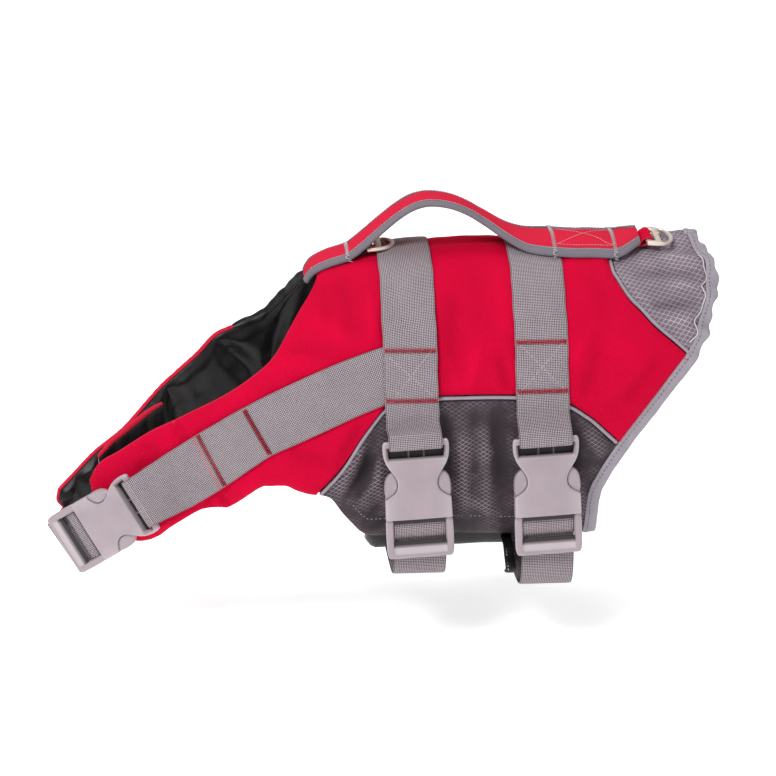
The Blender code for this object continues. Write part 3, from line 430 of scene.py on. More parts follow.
def plain_mesh(holder, weld=None):
    """The mesh that a curve or a modifier makes, without the object that held it."""
    evaluated = holder.evaluated_get(bpy.context.evaluated_depsgraph_get())
    mesh = bpy.data.meshes.new_from_object(evaluated)
    bpy.data.objects.remove(holder)
    if weld is None:
        return mesh
    return reworked(mesh, lambda cleaner: bmesh.ops.remove_doubles(
        cleaner, verts=cleaner.verts, dist=weld))


def make_object(name, points, faces, finish, uv, marks=None, smooth_angle=50):
    """A closed piece from points in millimetres, with its cloth coordinates in metres."""
    mesh = bpy.data.meshes.new(name)
    mesh.from_pydata([tuple(p) for p in np.asarray(points, float) * MM], [], faces)
    layer = mesh.uv_layers.new(name="cloth")
    corner = np.empty(len(mesh.loops), int)
    mesh.loops.foreach_get("vertex_index", corner)
    layer.data.foreach_set("uv", (np.asarray(uv, float)[corner] * MM).astype(np.float32).ravel())
    for label, values in (marks or {}).items():
        attribute = mesh.attributes.new(label, "FLOAT", "POINT")
        attribute.data.foreach_set("value", np.asarray(values, np.float32))
    reworked(mesh, turn_outwards)
    mesh.shade_smooth()
    mesh.set_sharp_from_angle(angle=math.radians(smooth_angle))
    mesh.materials.append(FINISHES[finish])
    return add_object(name, mesh)


def dress(obj, slot, *nodes, body="root"):
    """Hang a piece on its body and hide the imported solids it stands for; the slot argument is not
    used.
    """
    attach(obj, body)
    if nodes:
        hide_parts(*nodes)
    return obj


def grid_faces(rows, columns, keep=None):
    """The four-sided faces of a grid whose points are numbered row by row."""
    cells = [(i, j) for i in range(rows - 1) for j in range(columns - 1)
             if keep is None or keep[i, j]]
    corners = [i * columns + j for i, j in cells]
    return [(a, a + columns, a + columns + 1, a + 1) for a in corners]


def welded(grids):
    """Merge grids that share places, and give the places and the four-sided faces."""
    places, index, faces = [], {}, []
    for grid in grids:
        ids = []
        for place, key in zip(grid.reshape(-1, 2), np.round(grid, 3).reshape(-1, 2)):
            if tuple(key) not in index:
                index[tuple(key)] = len(places)
                places.append(place)
            ids.append(index[tuple(key)])
        faces += [tuple(ids[k] for k in face) for face in grid_faces(*grid.shape[:2])]
    return np.array(places), faces


def open_edges(faces):
    seen = {}
    for face in faces:
        for a, b in zip(face, face[1:] + face[:1]):
            seen.setdefault((min(a, b), max(a, b)), []).append((a, b, face))
    return [uses[0] for uses in seen.values() if len(uses) == 1]


def closed_pair(top, low, faces, corners=(3, 2, 1, 0)):
    """Two like sheets of points as one solid, with a wall along each open edge."""
    count = len(top)
    solid = list(faces) + [tuple(face[k] + count for k in corners) for face in faces]
    solid += [(b, a, a + count, b + count) for a, b, _ in open_edges(faces)]
    return np.vstack([top, low]), solid


STRAIGHT = 0.97


def edge_pulls(points, border, gaps):
    """For each border point, the move that gives every edge its own gap, and the way inwards."""
    pulls = {}
    for a, b, face in border:
        middle = (points[a] + points[b]) / 2
        along = unit(points[b] - points[a])
        inward = points[list(face)].mean(axis=0) - middle
        inward = unit(inward - along * np.dot(inward, along))
        for k in (a, b):
            pulls.setdefault(k, []).append((inward, gaps(a, b)))
    shifts, ways = {}, {}
    for k, ((one, gap_one), (two, gap_two)) in pulls.items():
        dot = float(np.dot(one, two))
        ways[k] = unit(one + two)
        if dot > STRAIGHT:
            shifts[k] = (one * gap_one + two * gap_two) / (1 + dot)
            continue
        solved = np.linalg.solve([[1, dot], [dot, 1]], [gap_one, gap_two])
        shifts[k] = one * solved[0] + two * solved[1]
    return shifts, ways


def moved(points, shifts):
    result = points.copy()
    for k, shift in shifts.items():
        result[k] += shift
    return result


def nearest(points, targets):
    """For each point, the distance to the closest target and that target's number."""
    tree = KDTree(len(targets))
    for k, target in enumerate(targets):
        tree.insert(target, k)
    tree.balance()
    found = [tree.find(p) for p in points]
    return np.array([f[2] for f in found]), np.array([f[1] for f in found])


PATH_POINTS = 60
FOLD_REACH = 2.6


def fold_depth(points, folds):
    """Listed troughs and ridges: x and angle of both ends, half width, depth."""
    depth = np.zeros(len(points))
    for x0, a0, x1, a1, width, height in folds:
        path = skin_point(np.linspace(x0, x1, PATH_POINTS), np.linspace(a0, a1, PATH_POINTS))
        reach = FOLD_REACH * width
        close = np.flatnonzero(np.all((points > path.min(axis=0) - reach)
                                      & (points < path.max(axis=0) + reach), axis=1))
        if not len(close):
            continue
        ways = np.linalg.norm(points[close][:, None] - path[None], axis=2)
        t = ways.argmin(axis=1) / (PATH_POINTS - 1)
        taper = 1 - np.abs(2 * t - 1) ** 4
        depth[close] += height * np.exp(-(ways.min(axis=1) / width) ** 2) * (0.2 + 0.8 * taper)
    return depth


def slow_waves(points, height, size, seed=0):
    """Uneven, smooth rises and dips that are the same on each run."""
    phase = np.array([1.7, 4.1, 2.9]) * (seed + 1)
    x, y, z = (points / size + phase).T
    return height * (np.sin(x + 1.3 * np.sin(z * 0.7)) * np.sin(1.1 * z + 0.8 * np.sin(x * 0.9 + y))
                     + 0.5 * np.sin(2.3 * x + 1.7 * y) * np.sin(1.9 * z + y))


def crowned(share):
    """Rises from 0 to 1 in a quarter round and stays there."""
    return np.sqrt(1 - (1 - np.clip(share, 0, 1)) ** 2)


FOLD_STRENGTH = 1.2
ON_SEAM = 1.6
PUCKER_WAY = np.array([0.71, 0.33, 0.62])
PUCKER_REACH = 5.0
RIM_STEPS = (0.2, 0.5, 0.8)
RIM_BULGE = 0.8
BULGE_ON_SEAM = 0.25


def cloth_panel(name, grids, piped, wall, puff, finish, folds=(), creases=(), top=0.0,
                waves=0.25, wave_size=11.0, lift_more=None, pucker=0.3):
    """A cut piece as a closed wall with a rounded rim, puffed and creased on its outer face."""
    places, faces = welded(grids)
    base, normals = skin_of(places), normals_of(places)
    border = open_edges(faces)
    on_seam = set()
    if piped:
        seams = np.vstack([skin_of(smooth_rows(rows, step=0.7)) for rows in piped])
        ids = sorted({k for edge in border for k in edge[:2]})
        away, _ = nearest(base[ids], seams)
        on_seam = {k for k, distance in zip(ids, away) if distance < ON_SEAM}
    shifts, ways = edge_pulls(
        base, border, lambda a, b: SEAM_GAP if a in on_seam and b in on_seam else EDGE_GAP)
    lines = [skin_of(smooth_rows(rows, step=1.0)) for rows in creases]
    rim = np.vstack([base[[a for a, _, _ in border]], *lines])
    far, which = nearest(base, rim)
    rise = puff * np.minimum(crowned(far / PUFF_REACH), crowned(np.abs(base[:, 1]) / SPINE_REACH))
    inside = np.clip(0.3 + far / 8.0, 0, 1)
    creased = FOLD_STRENGTH * fold_depth(base, folds)
    creased += slow_waves(base, waves, wave_size, len(name))
    soft = creased if lift_more is None else creased + lift_more(places[:, 0], places[:, 1], far)
    ripple = pucker * np.exp(-far / PUCKER_REACH) * inside * np.sin(rim[which] @ PUCKER_WAY)
    lift = top + rise + soft * inside + ripple
    seat = moved(base, shifts)
    outer = seat + normals * lift[:, None]
    inner = seat + normals * (np.minimum(top, lift) - wall)[:, None]

    rim_ids = sorted(shifts)
    points = [outer, inner]
    outwards = np.array([-ways[k] * (BULGE_ON_SEAM if k in on_seam else 1.0) for k in rim_ids])
    for t in RIM_STEPS:
        bulge = outwards * RIM_BULGE * math.sin(math.pi * t)
        points.append(outer[rim_ids] * (1 - t) + inner[rim_ids] * t + bulge)
    count = len(outer)
    rings = [{k: k for k in rim_ids}]
    rings += [{k: 2 * count + step * len(rim_ids) + n for n, k in enumerate(rim_ids)}
              for step in range(len(RIM_STEPS))]
    rings.append({k: k + count for k in rim_ids})
    solid = faces + [tuple(k + count for k in reversed(face)) for face in faces]
    solid += [(one[b], one[a], two[a], two[b]) for a, b, _ in border
              for one, two in zip(rings, rings[1:])]

    def for_all(values):
        """Values of the outer face, given to the inner one and to the rim too."""
        return np.concatenate([values, values] + [values[rim_ids]] * len(RIM_STEPS))

    uv = np.column_stack([places[:, 0], girth_arc(places[:, 0], places[:, 1])])
    # The ridge mark gives the fold height, from which the canvas and ripstop finishes paint
    # highlight on ridges and shade in troughs.
    marks = {"ridge": for_all(creased * inside), "edge": for_all(far) * MM}
    return make_object(name, np.vstack(points), solid, finish, for_all(uv), marks)


EDGE_SHARE = 0.45


def cloth_band(name, grid, wall, finish):
    """A band of cloth from a grid on its middle: rows along, columns across, with soft edges."""
    grid = np.array(grid, float)
    rows, columns = grid.shape[:2]
    normals = unit(np.cross(np.gradient(grid, axis=0), np.gradient(grid, axis=1)))
    widths = np.array([along_lengths(row) for row in grid])
    edge = np.minimum(widths, widths[:, -1:] - widths) / wall
    half = wall / 2 * (EDGE_SHARE + (1 - EDGE_SHARE) * np.sqrt(np.clip(edge, 0, 1)))
    shift = normals * half[..., None]
    points, faces = closed_pair((grid + shift).reshape(-1, 3), (grid - shift).reshape(-1, 3),
                                grid_faces(rows, columns), corners=(0, 3, 2, 1))
    lengths = np.repeat(along_lengths(grid[:, columns // 2])[:, None], columns, axis=1)
    uv = np.stack([lengths, widths - widths[:, -1:] / 2], axis=2).reshape(-1, 2)
    marks = {"edge": np.tile((edge * wall * MM).ravel(), 2)}
    return make_object(name, points, faces, finish, np.tile(uv, (2, 1)), marks, smooth_angle=60)


def ring_loft(name, rings, finish, smooth_angle=50):
    """A closed piece through rings of the same number of points, with closed ends."""
    rings = np.array(rings, float)
    count, size = rings.shape[:2]
    faces = [tuple(range(size)), tuple(reversed(range((count - 1) * size, count * size)))]
    for i in range(count - 1):
        for j in range(size):
            a, b = i * size + j, i * size + (j + 1) % size
            faces.append((a, b, b + size, a + size))
    lengths, girth = along_lengths(rings.mean(axis=1)), along_lengths(rings[count // 2])
    uv = np.stack(np.meshgrid(lengths, girth, indexing="ij"), axis=2).reshape(-1, 2)
    return make_object(name, rings.reshape(-1, 3), faces, finish, uv, smooth_angle=smooth_angle)


# Shader maths
def arithmetic(operation, swapped=False):
    return lambda value, other: value.math(operation, other, swapped)


class Value:
    """A shader socket that takes part in ordinary arithmetic."""
    __add__ = arithmetic("ADD")
    __radd__ = arithmetic("ADD", True)
    __sub__ = arithmetic("SUBTRACT")
    __rsub__ = arithmetic("SUBTRACT", True)
    __mul__ = arithmetic("MULTIPLY")
    __rmul__ = arithmetic("MULTIPLY", True)
    __truediv__ = arithmetic("DIVIDE")

    def __init__(self, tree, socket):
        self.tree = tree
        self.socket = socket

    def __abs__(self):
        return self.math("ABSOLUTE")

    def math(self, operation, other=None, swapped=False):
        node = self.tree.nodes.new("ShaderNodeMath")
        node.operation = operation
        terms = [self] if other is None else [other, self] if swapped else [self, other]
        for place, term in zip(node.inputs, terms):
            plug(self.tree, place, term)
        return Value(self.tree, node.outputs[0])

    def wave(self, pitch):
        """A sine that repeats every pitch."""
        return (self * (2 * math.pi / pitch)).math("SINE")

    def cut(self):
        """Held between 0 and 1."""
        return self.math("MAXIMUM", 0.0).math("MINIMUM", 1.0)

    def comb(self, pitch, width):
        """1 on thin lines every pitch, 0 between them."""
        place = abs((self / pitch).math("FRACT") - 0.5)
        return ((place - (0.5 - width / pitch)) / (width / pitch)).cut()


def plug(tree, place, term):
    if isinstance(term, Value):
        tree.links.new(term.socket, place)
    else:
        place.default_value = term


class Finish:
    """A material built from nodes round one Principled shader."""

    def __init__(self, name, roughness=0.8, metallic=0.0, **fixed):
        self.material = bpy.data.materials.new(name)
        self.material.use_nodes = True
        self.tree = self.material.node_tree
        self.shader = self.tree.nodes["Principled BSDF"]
        self.shader.inputs["Roughness"].default_value = roughness
        self.shader.inputs["Metallic"].default_value = metallic
        for key, value in fixed.items():
            label = key.replace("_", " ").title().replace("Ior", "IOR")
            self.shader.inputs[label].default_value = value

    def node(self, kind, settings=None, inputs=None, out=0):
        node = self.tree.nodes.new("ShaderNode" + kind)
        for key, value in (settings or {}).items():
            setattr(node, key, value)
        for key, value in (inputs or {}).items():
            plug(self.tree, node.inputs[key], value)
        return Value(self.tree, node.outputs[out])

    def cloth_uv(self):
        """The two cloth coordinates, in metres."""
        uv = self.node("UVMap", {"uv_map": "cloth"})
        return tuple(self.node("SeparateXYZ", None, {0: uv}, out) for out in (0, 1))

    def place(self):
        return self.node("TexCoord", None, None, 3)

    def mark(self, label):
        return self.node("Attribute", {"attribute_name": label}, None, 2)

    def noise(self, size, detail=2.0, rough=0.5):
        return self.node("TexNoise", None, {"Vector": self.place(), "Scale": 1 / size,
                                            "Detail": detail, "Roughness": rough}, 0)

    def mix(self, share, one, two):
        return self.node("Mix", {"data_type": "RGBA"}, {0: share, 6: one, 7: two}, 2)

    def shade(self, colour, share):
        """A colour made darker or lighter by a share that varies over the surface."""
        return self.node("VectorMath", {"operation": "SCALE"}, {0: colour[:3], "Scale": share})

    def feed(self, **links):
        names = {"colour": "Base Color", "roughness": "Roughness", "normal": "Normal"}
        for key, value in links.items():
            plug(self.tree, self.shader.inputs[names[key]], value)
        return self.material

    def bump(self, height, distance, strength=1.0):
        links = {"Height": height, "Distance": distance, "Strength": strength}
        return self.node("Bump", None, links)


def rgb(colour):
    return (colour[0], colour[1], colour[2], 1.0)


def canvas_finish(name, colour, pitch):
    """Plain-weave canvas: slanted threads, uneven grain, painted highlight and shade on its folds,
    and a painted highlight along its cut edges.
    """
    f = Finish(name, 0.85, specular_ior_level=0.06)
    u, v = f.cloth_uv()
    weave = (u + v * 0.55).wave(pitch) * 0.5 + (v - u * 0.4).wave(pitch * 0.92) * 0.5
    grain = f.noise(0.0011, 3.0, 0.7)
    broad = f.noise(0.045, 3.0, 0.55)
    ridge = f.mark("ridge")
    # Painted highlight on fold ridges and painted shade in their troughs, from the ridge mark.
    share = 0.99 + (grain - 0.5) * 0.46 + (broad - 0.5) * 0.14 + weave * 0.15 + ridge * 0.075
    # Painted highlight along the cut edges; pieces with no edge attribute, such as the handle pad,
    # get it all over.
    edge_highlight = (1.0 - f.mark("edge") / 0.0011).cut() * 0.16
    tone = f.mix(edge_highlight, f.shade(colour, share), rgb((0.80, 0.10, 0.13)))
    return f.feed(colour=tone, roughness=0.80 + grain * 0.12,
                  normal=f.bump(weave * 0.6 + grain * 1.4, 0.00030, 0.7))


def ripstop_finish(name, colour, line, dark_line, cell, slants, width, glint):
    """Ripstop: a fine ground with raised slanted threads that shine where they catch the light."""
    f = Finish(name, 0.6, specular_ior_level=0.2)
    u, v = f.cloth_uv()
    one, two = (v * math.cos(math.radians(t)) - u * math.sin(math.radians(t)) for t in slants)
    grid = one.comb(cell, width).math("MAXIMUM", two.comb(cell, width))
    broad = f.noise(0.026, 3.0, 0.65)
    ridge = f.mark("ridge")
    # Painted highlight on the threads: the pale line colour where broad noise and fold ridges put
    # it, the shade colour elsewhere.
    lit = ((broad - 0.5) * glint + 0.36 + ridge * 0.26).cut()
    weave = one.wave(0.00055) * two.wave(0.00055)
    grain = f.noise(0.0008, 2.0, 0.6)
    # Ground tone: random broad variation, with painted highlight on fold ridges and painted shade in
    # their troughs.
    share = 0.92 + (broad - 0.5) * 0.6 + ridge * 0.12 + (grain - 0.5) * 0.2
    thread = f.mix(lit, rgb(dark_line), rgb(line))
    return f.feed(colour=f.mix(grid * 0.9, f.shade(colour, share), thread),
                  roughness=0.55 + grain * 0.15,
                  normal=f.bump(grid * 0.9 + weave * 0.1, 0.00022, 0.8))


def satin_finish(name, colour):
    """Black lining: dull in the folds and shiny where it turns to the light."""
    f = Finish(name, 0.4, specular_ior_level=0.32)
    broad = f.noise(0.030, 2.0, 0.5)
    grain = f.noise(0.0009, 2.0)
    crush = f.noise(0.011, 3.0, 0.55)
    share = 0.9 + (broad - 0.5) * 0.5 + (grain - 0.5) * 0.3
    return f.feed(colour=f.shade(colour, share), roughness=0.30 + crush * 0.26,
                  normal=f.bump(crush * 0.9 + grain * 0.07, 0.0011, 0.4))


def webbing_finish(name, colour, pitch, dark, light):
    """Webbing: rows and columns of knots, with painted shade in the pits where the threads dive."""
    f = Finish(name, 0.75, specular_ior_level=0.25)
    u, v = f.cloth_uv()
    wobble = (f.noise(0.006, 2.0) - 0.5) * 0.00030
    rows = abs((u + wobble).wave(pitch * 2))
    columns = abs((v + wobble * 0.5).wave(pitch * 2))
    knots = rows * columns
    broad = f.noise(0.022, 3.0, 0.6)
    grain = f.noise(0.0008, 2.0, 0.7)
    share = knots * 1.40 - 0.08 + (broad - 0.5) * 0.22 + (grain - 0.5) * 0.45
    # Painted shade in the pits between the knots.
    tone = f.mix(share.cut(), rgb(dark), rgb(light))
    # Darker along both edges of the band.
    edge_darkening = (1.0 - f.mark("edge") / 0.0013).cut() * 0.5
    tone = f.mix(edge_darkening, tone, rgb(dark))
    return f.feed(colour=f.mix(0.12, tone, rgb(colour)), roughness=0.78 - knots * 0.15,
                  normal=f.bump(knots + grain * 0.3, 0.00045, 0.8))


def tape_finish(name, colour, pitch=0.0009):
    f = Finish(name, 0.8, specular_ior_level=0.25)
    u, v = f.cloth_uv()
    rib = u.wave(pitch)
    grain = f.noise(0.0007, 3.0, 0.7)
    broad = f.noise(0.012, 3.0, 0.6)
    share = 0.90 + rib * 0.05 + (grain - 0.5) * 0.28 + (broad - 0.5) * 0.22
    return f.feed(colour=f.shade(colour, share), roughness=0.72 + grain * 0.15,
                  normal=f.bump(rib * 0.4 + grain, 0.00025, 0.5))


def plastic_finish(name, colour):
    """Satin moulded plastic, with painted shade in its hollows and between parts, and a painted
    highlight along its edges.
    """
    f = Finish(name, 0.4, specular_ior_level=0.3, coat_weight=0.05, coat_roughness=0.25)
    fine = f.noise(0.0006, 2.0)
    broad = f.noise(0.018, 2.0, 0.5)
    scuff = f.noise(0.004, 4.0, 0.7)
    share = 0.95 + (broad - 0.5) * 0.26 + (scuff - 0.5) * 0.08
    # Painted highlight: paler where the rim mark picks out the edges.
    tone = f.mix(f.mark("rim") * 0.30, f.shade(colour, share), rgb((0.72, 0.68, 0.70)))
    # Painted shade: nearly black where the shade mark is set, in hollows and between parts.
    tone = f.mix(f.mark("recess"), tone, rgb((0.016, 0.014, 0.015)))
    return f.feed(colour=tone, roughness=0.34 + scuff * 0.12 + f.mark("recess") * 0.5,
                  normal=f.bump(fine, 0.00008, 0.35))


def metal_finish(name, colour):
    """Nickel with a warm cast, softly polished and lightly scuffed."""
    f = Finish(name, 0.3, 0.6)
    fine = f.noise(0.0007, 3.0)
    broad = f.noise(0.005, 3.0)
    return f.feed(colour=f.shade(colour, 0.94 + (broad - 0.5) * 0.2),
                  roughness=0.26 + broad * 0.16 + fine * 0.05, normal=f.bump(fine, 0.00006, 0.3))


def thread_finish(name, colour):
    f = Finish(name, 0.6, specular_ior_level=0.3)
    grain = f.noise(0.0006, 2.0, 0.7)
    return f.feed(colour=f.shade(colour, 0.8 + grain * 0.35), roughness=0.5 + grain * 0.2,
                  normal=f.bump(grain, 0.0002, 0.5))


FINISHES = {}


# Settings that a user may change
def length_property(name, description, default):
    return bpy.props.FloatProperty(
        name=name, description=description, default=default, unit="LENGTH", subtype="DISTANCE")


def colour_property(name, description, default):
    return bpy.props.FloatVectorProperty(
        name=name, description=description, default=default, subtype="COLOR", size=3, min=0, max=1)


class JacketSizes(bpy.types.PropertyGroup):
    strap_width: length_property("Strap width", "Width of the webbing", 0.040)
    weave_pitch: length_property("Webbing pitch", "Way from rib to rib of the webbing", 0.00128)
    canvas_pitch: length_property("Canvas pitch", "Way from thread to thread in the canvas", 0.0012)
    ripstop_cell: length_property("Ripstop cell", "Side of a square of the ripstop's grid", 0.0029)
    stitch_pitch: length_property("Stitch pitch", "Way from one stitch to the next", 0.0033)
    stitch_length: length_property("Stitch length", "Thread that shows in one stitch", 0.0025)
    thread_width: length_property("Thread width", "Thickness of the sewing thread", 0.0006)


class JacketColours(bpy.types.PropertyGroup):
    canvas: colour_property("Canvas", "The red cloth of back and handle", (0.55, 0.0008, 0.031))
    side: colour_property("Side ripstop", "The dark cloth of the sides", (0.052, 0.036, 0.046))
    side_line: colour_property("Side grid", "The grid where it catches light", (0.42, 0.365, 0.40))
    side_dark: colour_property("Side grid in shade", "The grid in shade", (0.020, 0.014, 0.018))
    rump: colour_property("Rump ripstop", "The lighter cloth of the rump", (0.175, 0.135, 0.168))
    rump_line: colour_property("Rump grid", "The grid where it catches light", (0.86, 0.78, 0.84))
    rump_dark: colour_property("Rump grid in shade", "The grid in shade", (0.42, 0.37, 0.41))
    lining: colour_property("Lining", "The black cloth inside", (0.0036, 0.0024, 0.0031))
    tape: colour_property("Tape", "Bindings and piping", (0.345, 0.31, 0.355))
    tape_dark: colour_property("Handle tape", "The handle's bindings", (0.185, 0.163, 0.19))
    webbing: colour_property("Webbing", "The straps", (0.27, 0.235, 0.25))
    # The pit colour is painted shade in the webbing's weave.
    webbing_dark: colour_property("Webbing pits", "Where the threads dive", (0.014, 0.010, 0.012))
    webbing_light: colour_property("Webbing knots", "Where the threads rise", (0.54, 0.462, 0.50))
    plastic: colour_property("Plastic", "The buckles", (0.345, 0.286, 0.312))
    metal: colour_property("Metal", "The D-rings", (0.80, 0.68, 0.60))
    red_thread: colour_property("Red thread", "The bar tacks", (0.62, 0.008, 0.03))
    pale_thread: colour_property("Pale thread", "Light stitching", (0.52, 0.48, 0.50))
    dark_thread: colour_property("Dark thread", "Stitching on dark cloth", (0.05, 0.04, 0.045))


# Ripstop: the angles of its two sets of threads, their width and how strongly they glint
SIDE_GRID = ((33, -33), 0.00030, 2.5)
RUMP_GRID = ((-18, 52), 0.00028, 1.2)
RUMP_CELL_SHARE = 1.15


def mix_finishes():
    sizes = bpy.context.scene.jacket_sizes
    chosen = bpy.context.scene.jacket_colours
    tint = {key: tuple(getattr(chosen, key)) for key in JacketColours.__annotations__}
    cell = sizes.ripstop_cell
    FINISHES.update({
        "canvas": canvas_finish("red_canvas", tint["canvas"], sizes.canvas_pitch),
        "side": ripstop_finish("side_ripstop", tint["side"], tint["side_line"], tint["side_dark"],
                               cell, *SIDE_GRID),
        "rump": ripstop_finish("rump_ripstop", tint["rump"], tint["rump_line"], tint["rump_dark"],
                               cell * RUMP_CELL_SHARE, *RUMP_GRID),
        "lining": satin_finish("black_satin", tint["lining"]),
        "tape": tape_finish("grey_tape", tint["tape"]),
        "handle_tape": tape_finish("handle_tape", tint["tape_dark"]),
        "webbing": webbing_finish("grey_webbing", tint["webbing"], sizes.weave_pitch,
                                  tint["webbing_dark"], tint["webbing_light"]),
        "plastic": plastic_finish("grey_plastic", tint["plastic"]),
        "metal": metal_finish("nickel", tint["metal"]),
    })
    for name in ("red_thread", "pale_thread", "dark_thread"):
        FINISHES[name] = thread_finish(name, tint[name])


# The cut pieces
PIECE_STEP = 14.0
PANEL_ROWS = 8


def steps_for(*curves):
    """How many steps the longest of some curves is cut into."""
    return max(2, round(max(places_along(rows)[1][-1] for rows in curves) / PIECE_STEP))


def red_half(neck, front, lower, side):
    """The red panel of one side, from the chest flap's end to the rear corner."""
    def along(rows, count):
        return spread(on_side(rows, side), count * FINE)

    n_chest = steps_for(neck, lower)
    n_front = steps_for(SPINE_FRONT, ARCH_FRONT)
    n_rear = steps_for(SPINE_REAR)
    n_seam = steps_for(RUMP_SEAM)
    top = joined(along(neck, n_chest), along(SPINE_FRONT, n_front), along(SPINE_REAR, n_rear),
                 along(RUMP_SEAM, n_seam))
    low = joined(along(lower, n_chest), along(ARCH_FRONT, n_front),
                 along(ARCH_REAR, n_rear + n_seam))
    return patch(top, low, along(front, PANEL_ROWS), along(RIM_SIDE, PANEL_ROWS))


BACK_FOLDS = (
    # x and angle of one end, of the other end, half width, depth
    (-24, -34, -30, -78, 7, -1.8), (-6, -60, -16, -82, 5, 1.5), (8, -64, 16, -82, 4, -1.6),
    (-32, -62, -22, -82, 4, 1.3), (14, -22, 16, -58, 7, 0.9), (-8, -20, -4, -50, 8, -0.8),
    (70, -90, 86, -62, 6, -1.5), (64, -70, 78, -56, 4, 1.1), (90, -58, 122, -76, 8, 1.0),
    (100, -94, 134, -70, 6, -1.2), (84, -30, 92, -52, 7, -0.9), (-108, -18, -98, -52, 8, -1.5),
    (-132, -34, -96, -52, 7, 1.3), (-122, -18, -116, -44, 5, -1.1),
    (-86, -30, -84, -50, 4, 1.2), (-166, -50, -120, -54, 6, 1.1),
    (-150, -44, -112, -54, 5, -1.2), (-92, -88, -112, -106, 5, -1.7),
    (-78, -84, -88, -96, 4, 1.3), (-150, -92, -118, -106, 7, -1.5),
    (-205, -58, -176, -54, 4, 1.0), (-262, -54, -246, -62, 4, -1.2),
    (-234, -52, -228, -64, 3, -2.0), (-203, -106, -194, -114, 3, -2.2),
    (-226, -118, -206, -106, 4, -1.6), (-255, -122, -240, -110, 4, 1.2),
    (-182, -112, -172, -100, 4, 1.1), (-24, 32, -20, 74, 7, -1.5), (4, 60, 16, 82, 5, 1.4),
    (-14, 58, -8, 82, 5, -1.2), (82, 92, 96, 64, 6, -1.4), (70, 86, 80, 62, 4, 1.1),
    (96, 60, 122, 74, 8, 1.2), (-104, 20, -110, 52, 8, -1.4), (-124, 22, -100, 50, 6, 1.1),
    (-170, 52, -126, 50, 7, 1.2), (-140, 96, -112, 106, 7, -1.5), (-206, 62, -180, 58, 5, -1.1),
    (-300, 70, -284, 96, 6, -1.8), (-322, 66, -318, 92, 5, 1.5),
)


FOAM_RISE = 1.8
STRAP_HALF = 19.5
PRESS_REACH = 9.0
PRESS_POWER = 0.7
CHEST_COVERED = (-262, -50)
ANGLE_WAY = 1.5


def strap_press(x, angle, far):
    """Foam that rises between the straps and is pressed down under them."""
    turn = np.abs(angle)
    rise = np.full_like(x, FOAM_RISE)
    for _, middle, _ in GIRTH_STRAPS:
        away = np.abs(x - middle - GIRTH_LEAN * np.clip(turn - GIRTH_LEAN_FROM, 0, None))
        clear = np.clip((away - STRAP_HALF) / PRESS_REACH, 0, 1)
        rise = np.minimum(rise, FOAM_RISE * clear ** PRESS_POWER)
    rows = np.array(CHEST_STRAP_NEAR, float)[::-1]
    upper = np.interp(x, rows[:, 0], rows[:, 1])
    lower = np.interp(x, rows[:, 2], rows[:, 3])
    clear = np.clip(np.maximum(upper - turn, turn - lower) * ANGLE_WAY / PRESS_REACH, 0, 1)
    covered = (x > CHEST_COVERED[0]) & (x < CHEST_COVERED[1])
    rise = np.where(covered, np.minimum(rise, FOAM_RISE * clear ** PRESS_POWER), rise)
    return rise * np.clip(turn / 18.0, 0, 1)


class JACKET_OT_back(bpy.types.Operator):
    """Make the red back with its chest flaps."""
    bl_idname = "jacket.back"
    bl_label = "Back panel"

    def execute(self, context):
        grids = [red_half(NECK_NEAR, FRONT_NEAR, LOWER_NEAR, NEAR),
                 red_half(NECK_FAR, FRONT_FAR, LOWER_FAR, FAR)]
        piped = [on_side(rows, side) for rows in (ARCH_FRONT, ARCH_REAR, RUMP_SEAM)
                 for side, _ in SIDES]
        creases = [on_side(CHANNEL, side) for side, _ in SIDES]
        back = cloth_panel("back_cloth", grids, piped, PANEL_WALL, PANEL_PUFF, "canvas",
                           BACK_FOLDS, creases, lift_more=strap_press, pucker=0.45)
        dress(back, "red_canvas", "back_panel")
        return {"FINISHED"}


SIDE_FOLDS = (
    # x and angle of one end, of the other end, half width, depth
    (-110, 116, -90, 100, 3, 1.6), (-108, 126, -80, 106, 3, -1.8),
    (-100, 132, -78, 116, 3, 1.8), (-94, 139, -76, 126, 3, -1.4), (-112, 122, -96, 104, 5, 1.9),
    (-98, 134, -86, 98, 5, -2.2), (-84, 104, -78, 134, 4, 1.6), (-34, 90, -30, 140, 6, -2.2),
    (-20, 96, -16, 140, 4, 2.0), (-10, 92, -8, 134, 4, -1.2), (6, 90, 14, 132, 6, -2.2),
    (-2, 100, 2, 142, 4, 1.6), (-40, 124, 10, 140, 4, 1.3), (66, 102, 62, 142, 5, -2.2),
    (76, 106, 90, 120, 5, 2.1), (68, 128, 80, 142, 4, 1.8), (-92, 142, -56, 134, 4, -1.4),
)


class JACKET_OT_sides(bpy.types.Operator):
    """Make the two ripstop side panels."""
    bl_idname = "jacket.sides"
    bl_label = "Side panels"

    def execute(self, context):
        arch = joined(spread(ARCH_FRONT, 9), spread(ARCH_REAR, 11))
        columns, rows = 72, 34
        for side, label in SIDES:
            top = spread(on_side(arch, side), columns, start=CORNER_TRIM)
            low = spread(on_side(HEM, side), columns, start=CORNER_TRIM)
            front = np.linspace(top[0], low[0], rows + 1)
            rear = spread(on_side(RIM_BELLY, side), rows)
            grid = patch(top, low, front, rear)
            piped = [on_side(ARCH_FRONT, side), on_side(ARCH_REAR, side)]
            folds = [(x0, side * a0, x1, side * a1, w, d) for x0, a0, x1, a1, w, d in SIDE_FOLDS]
            piece = cloth_panel("side_cloth_" + label, [grid], piped, SIDE_WALL, SIDE_PUFF, "side",
                                folds, waves=0.4, wave_size=9.0, pucker=0.5)
            dress(piece, "side_ripstop", "side_panel_" + label)
        return {"FINISHED"}


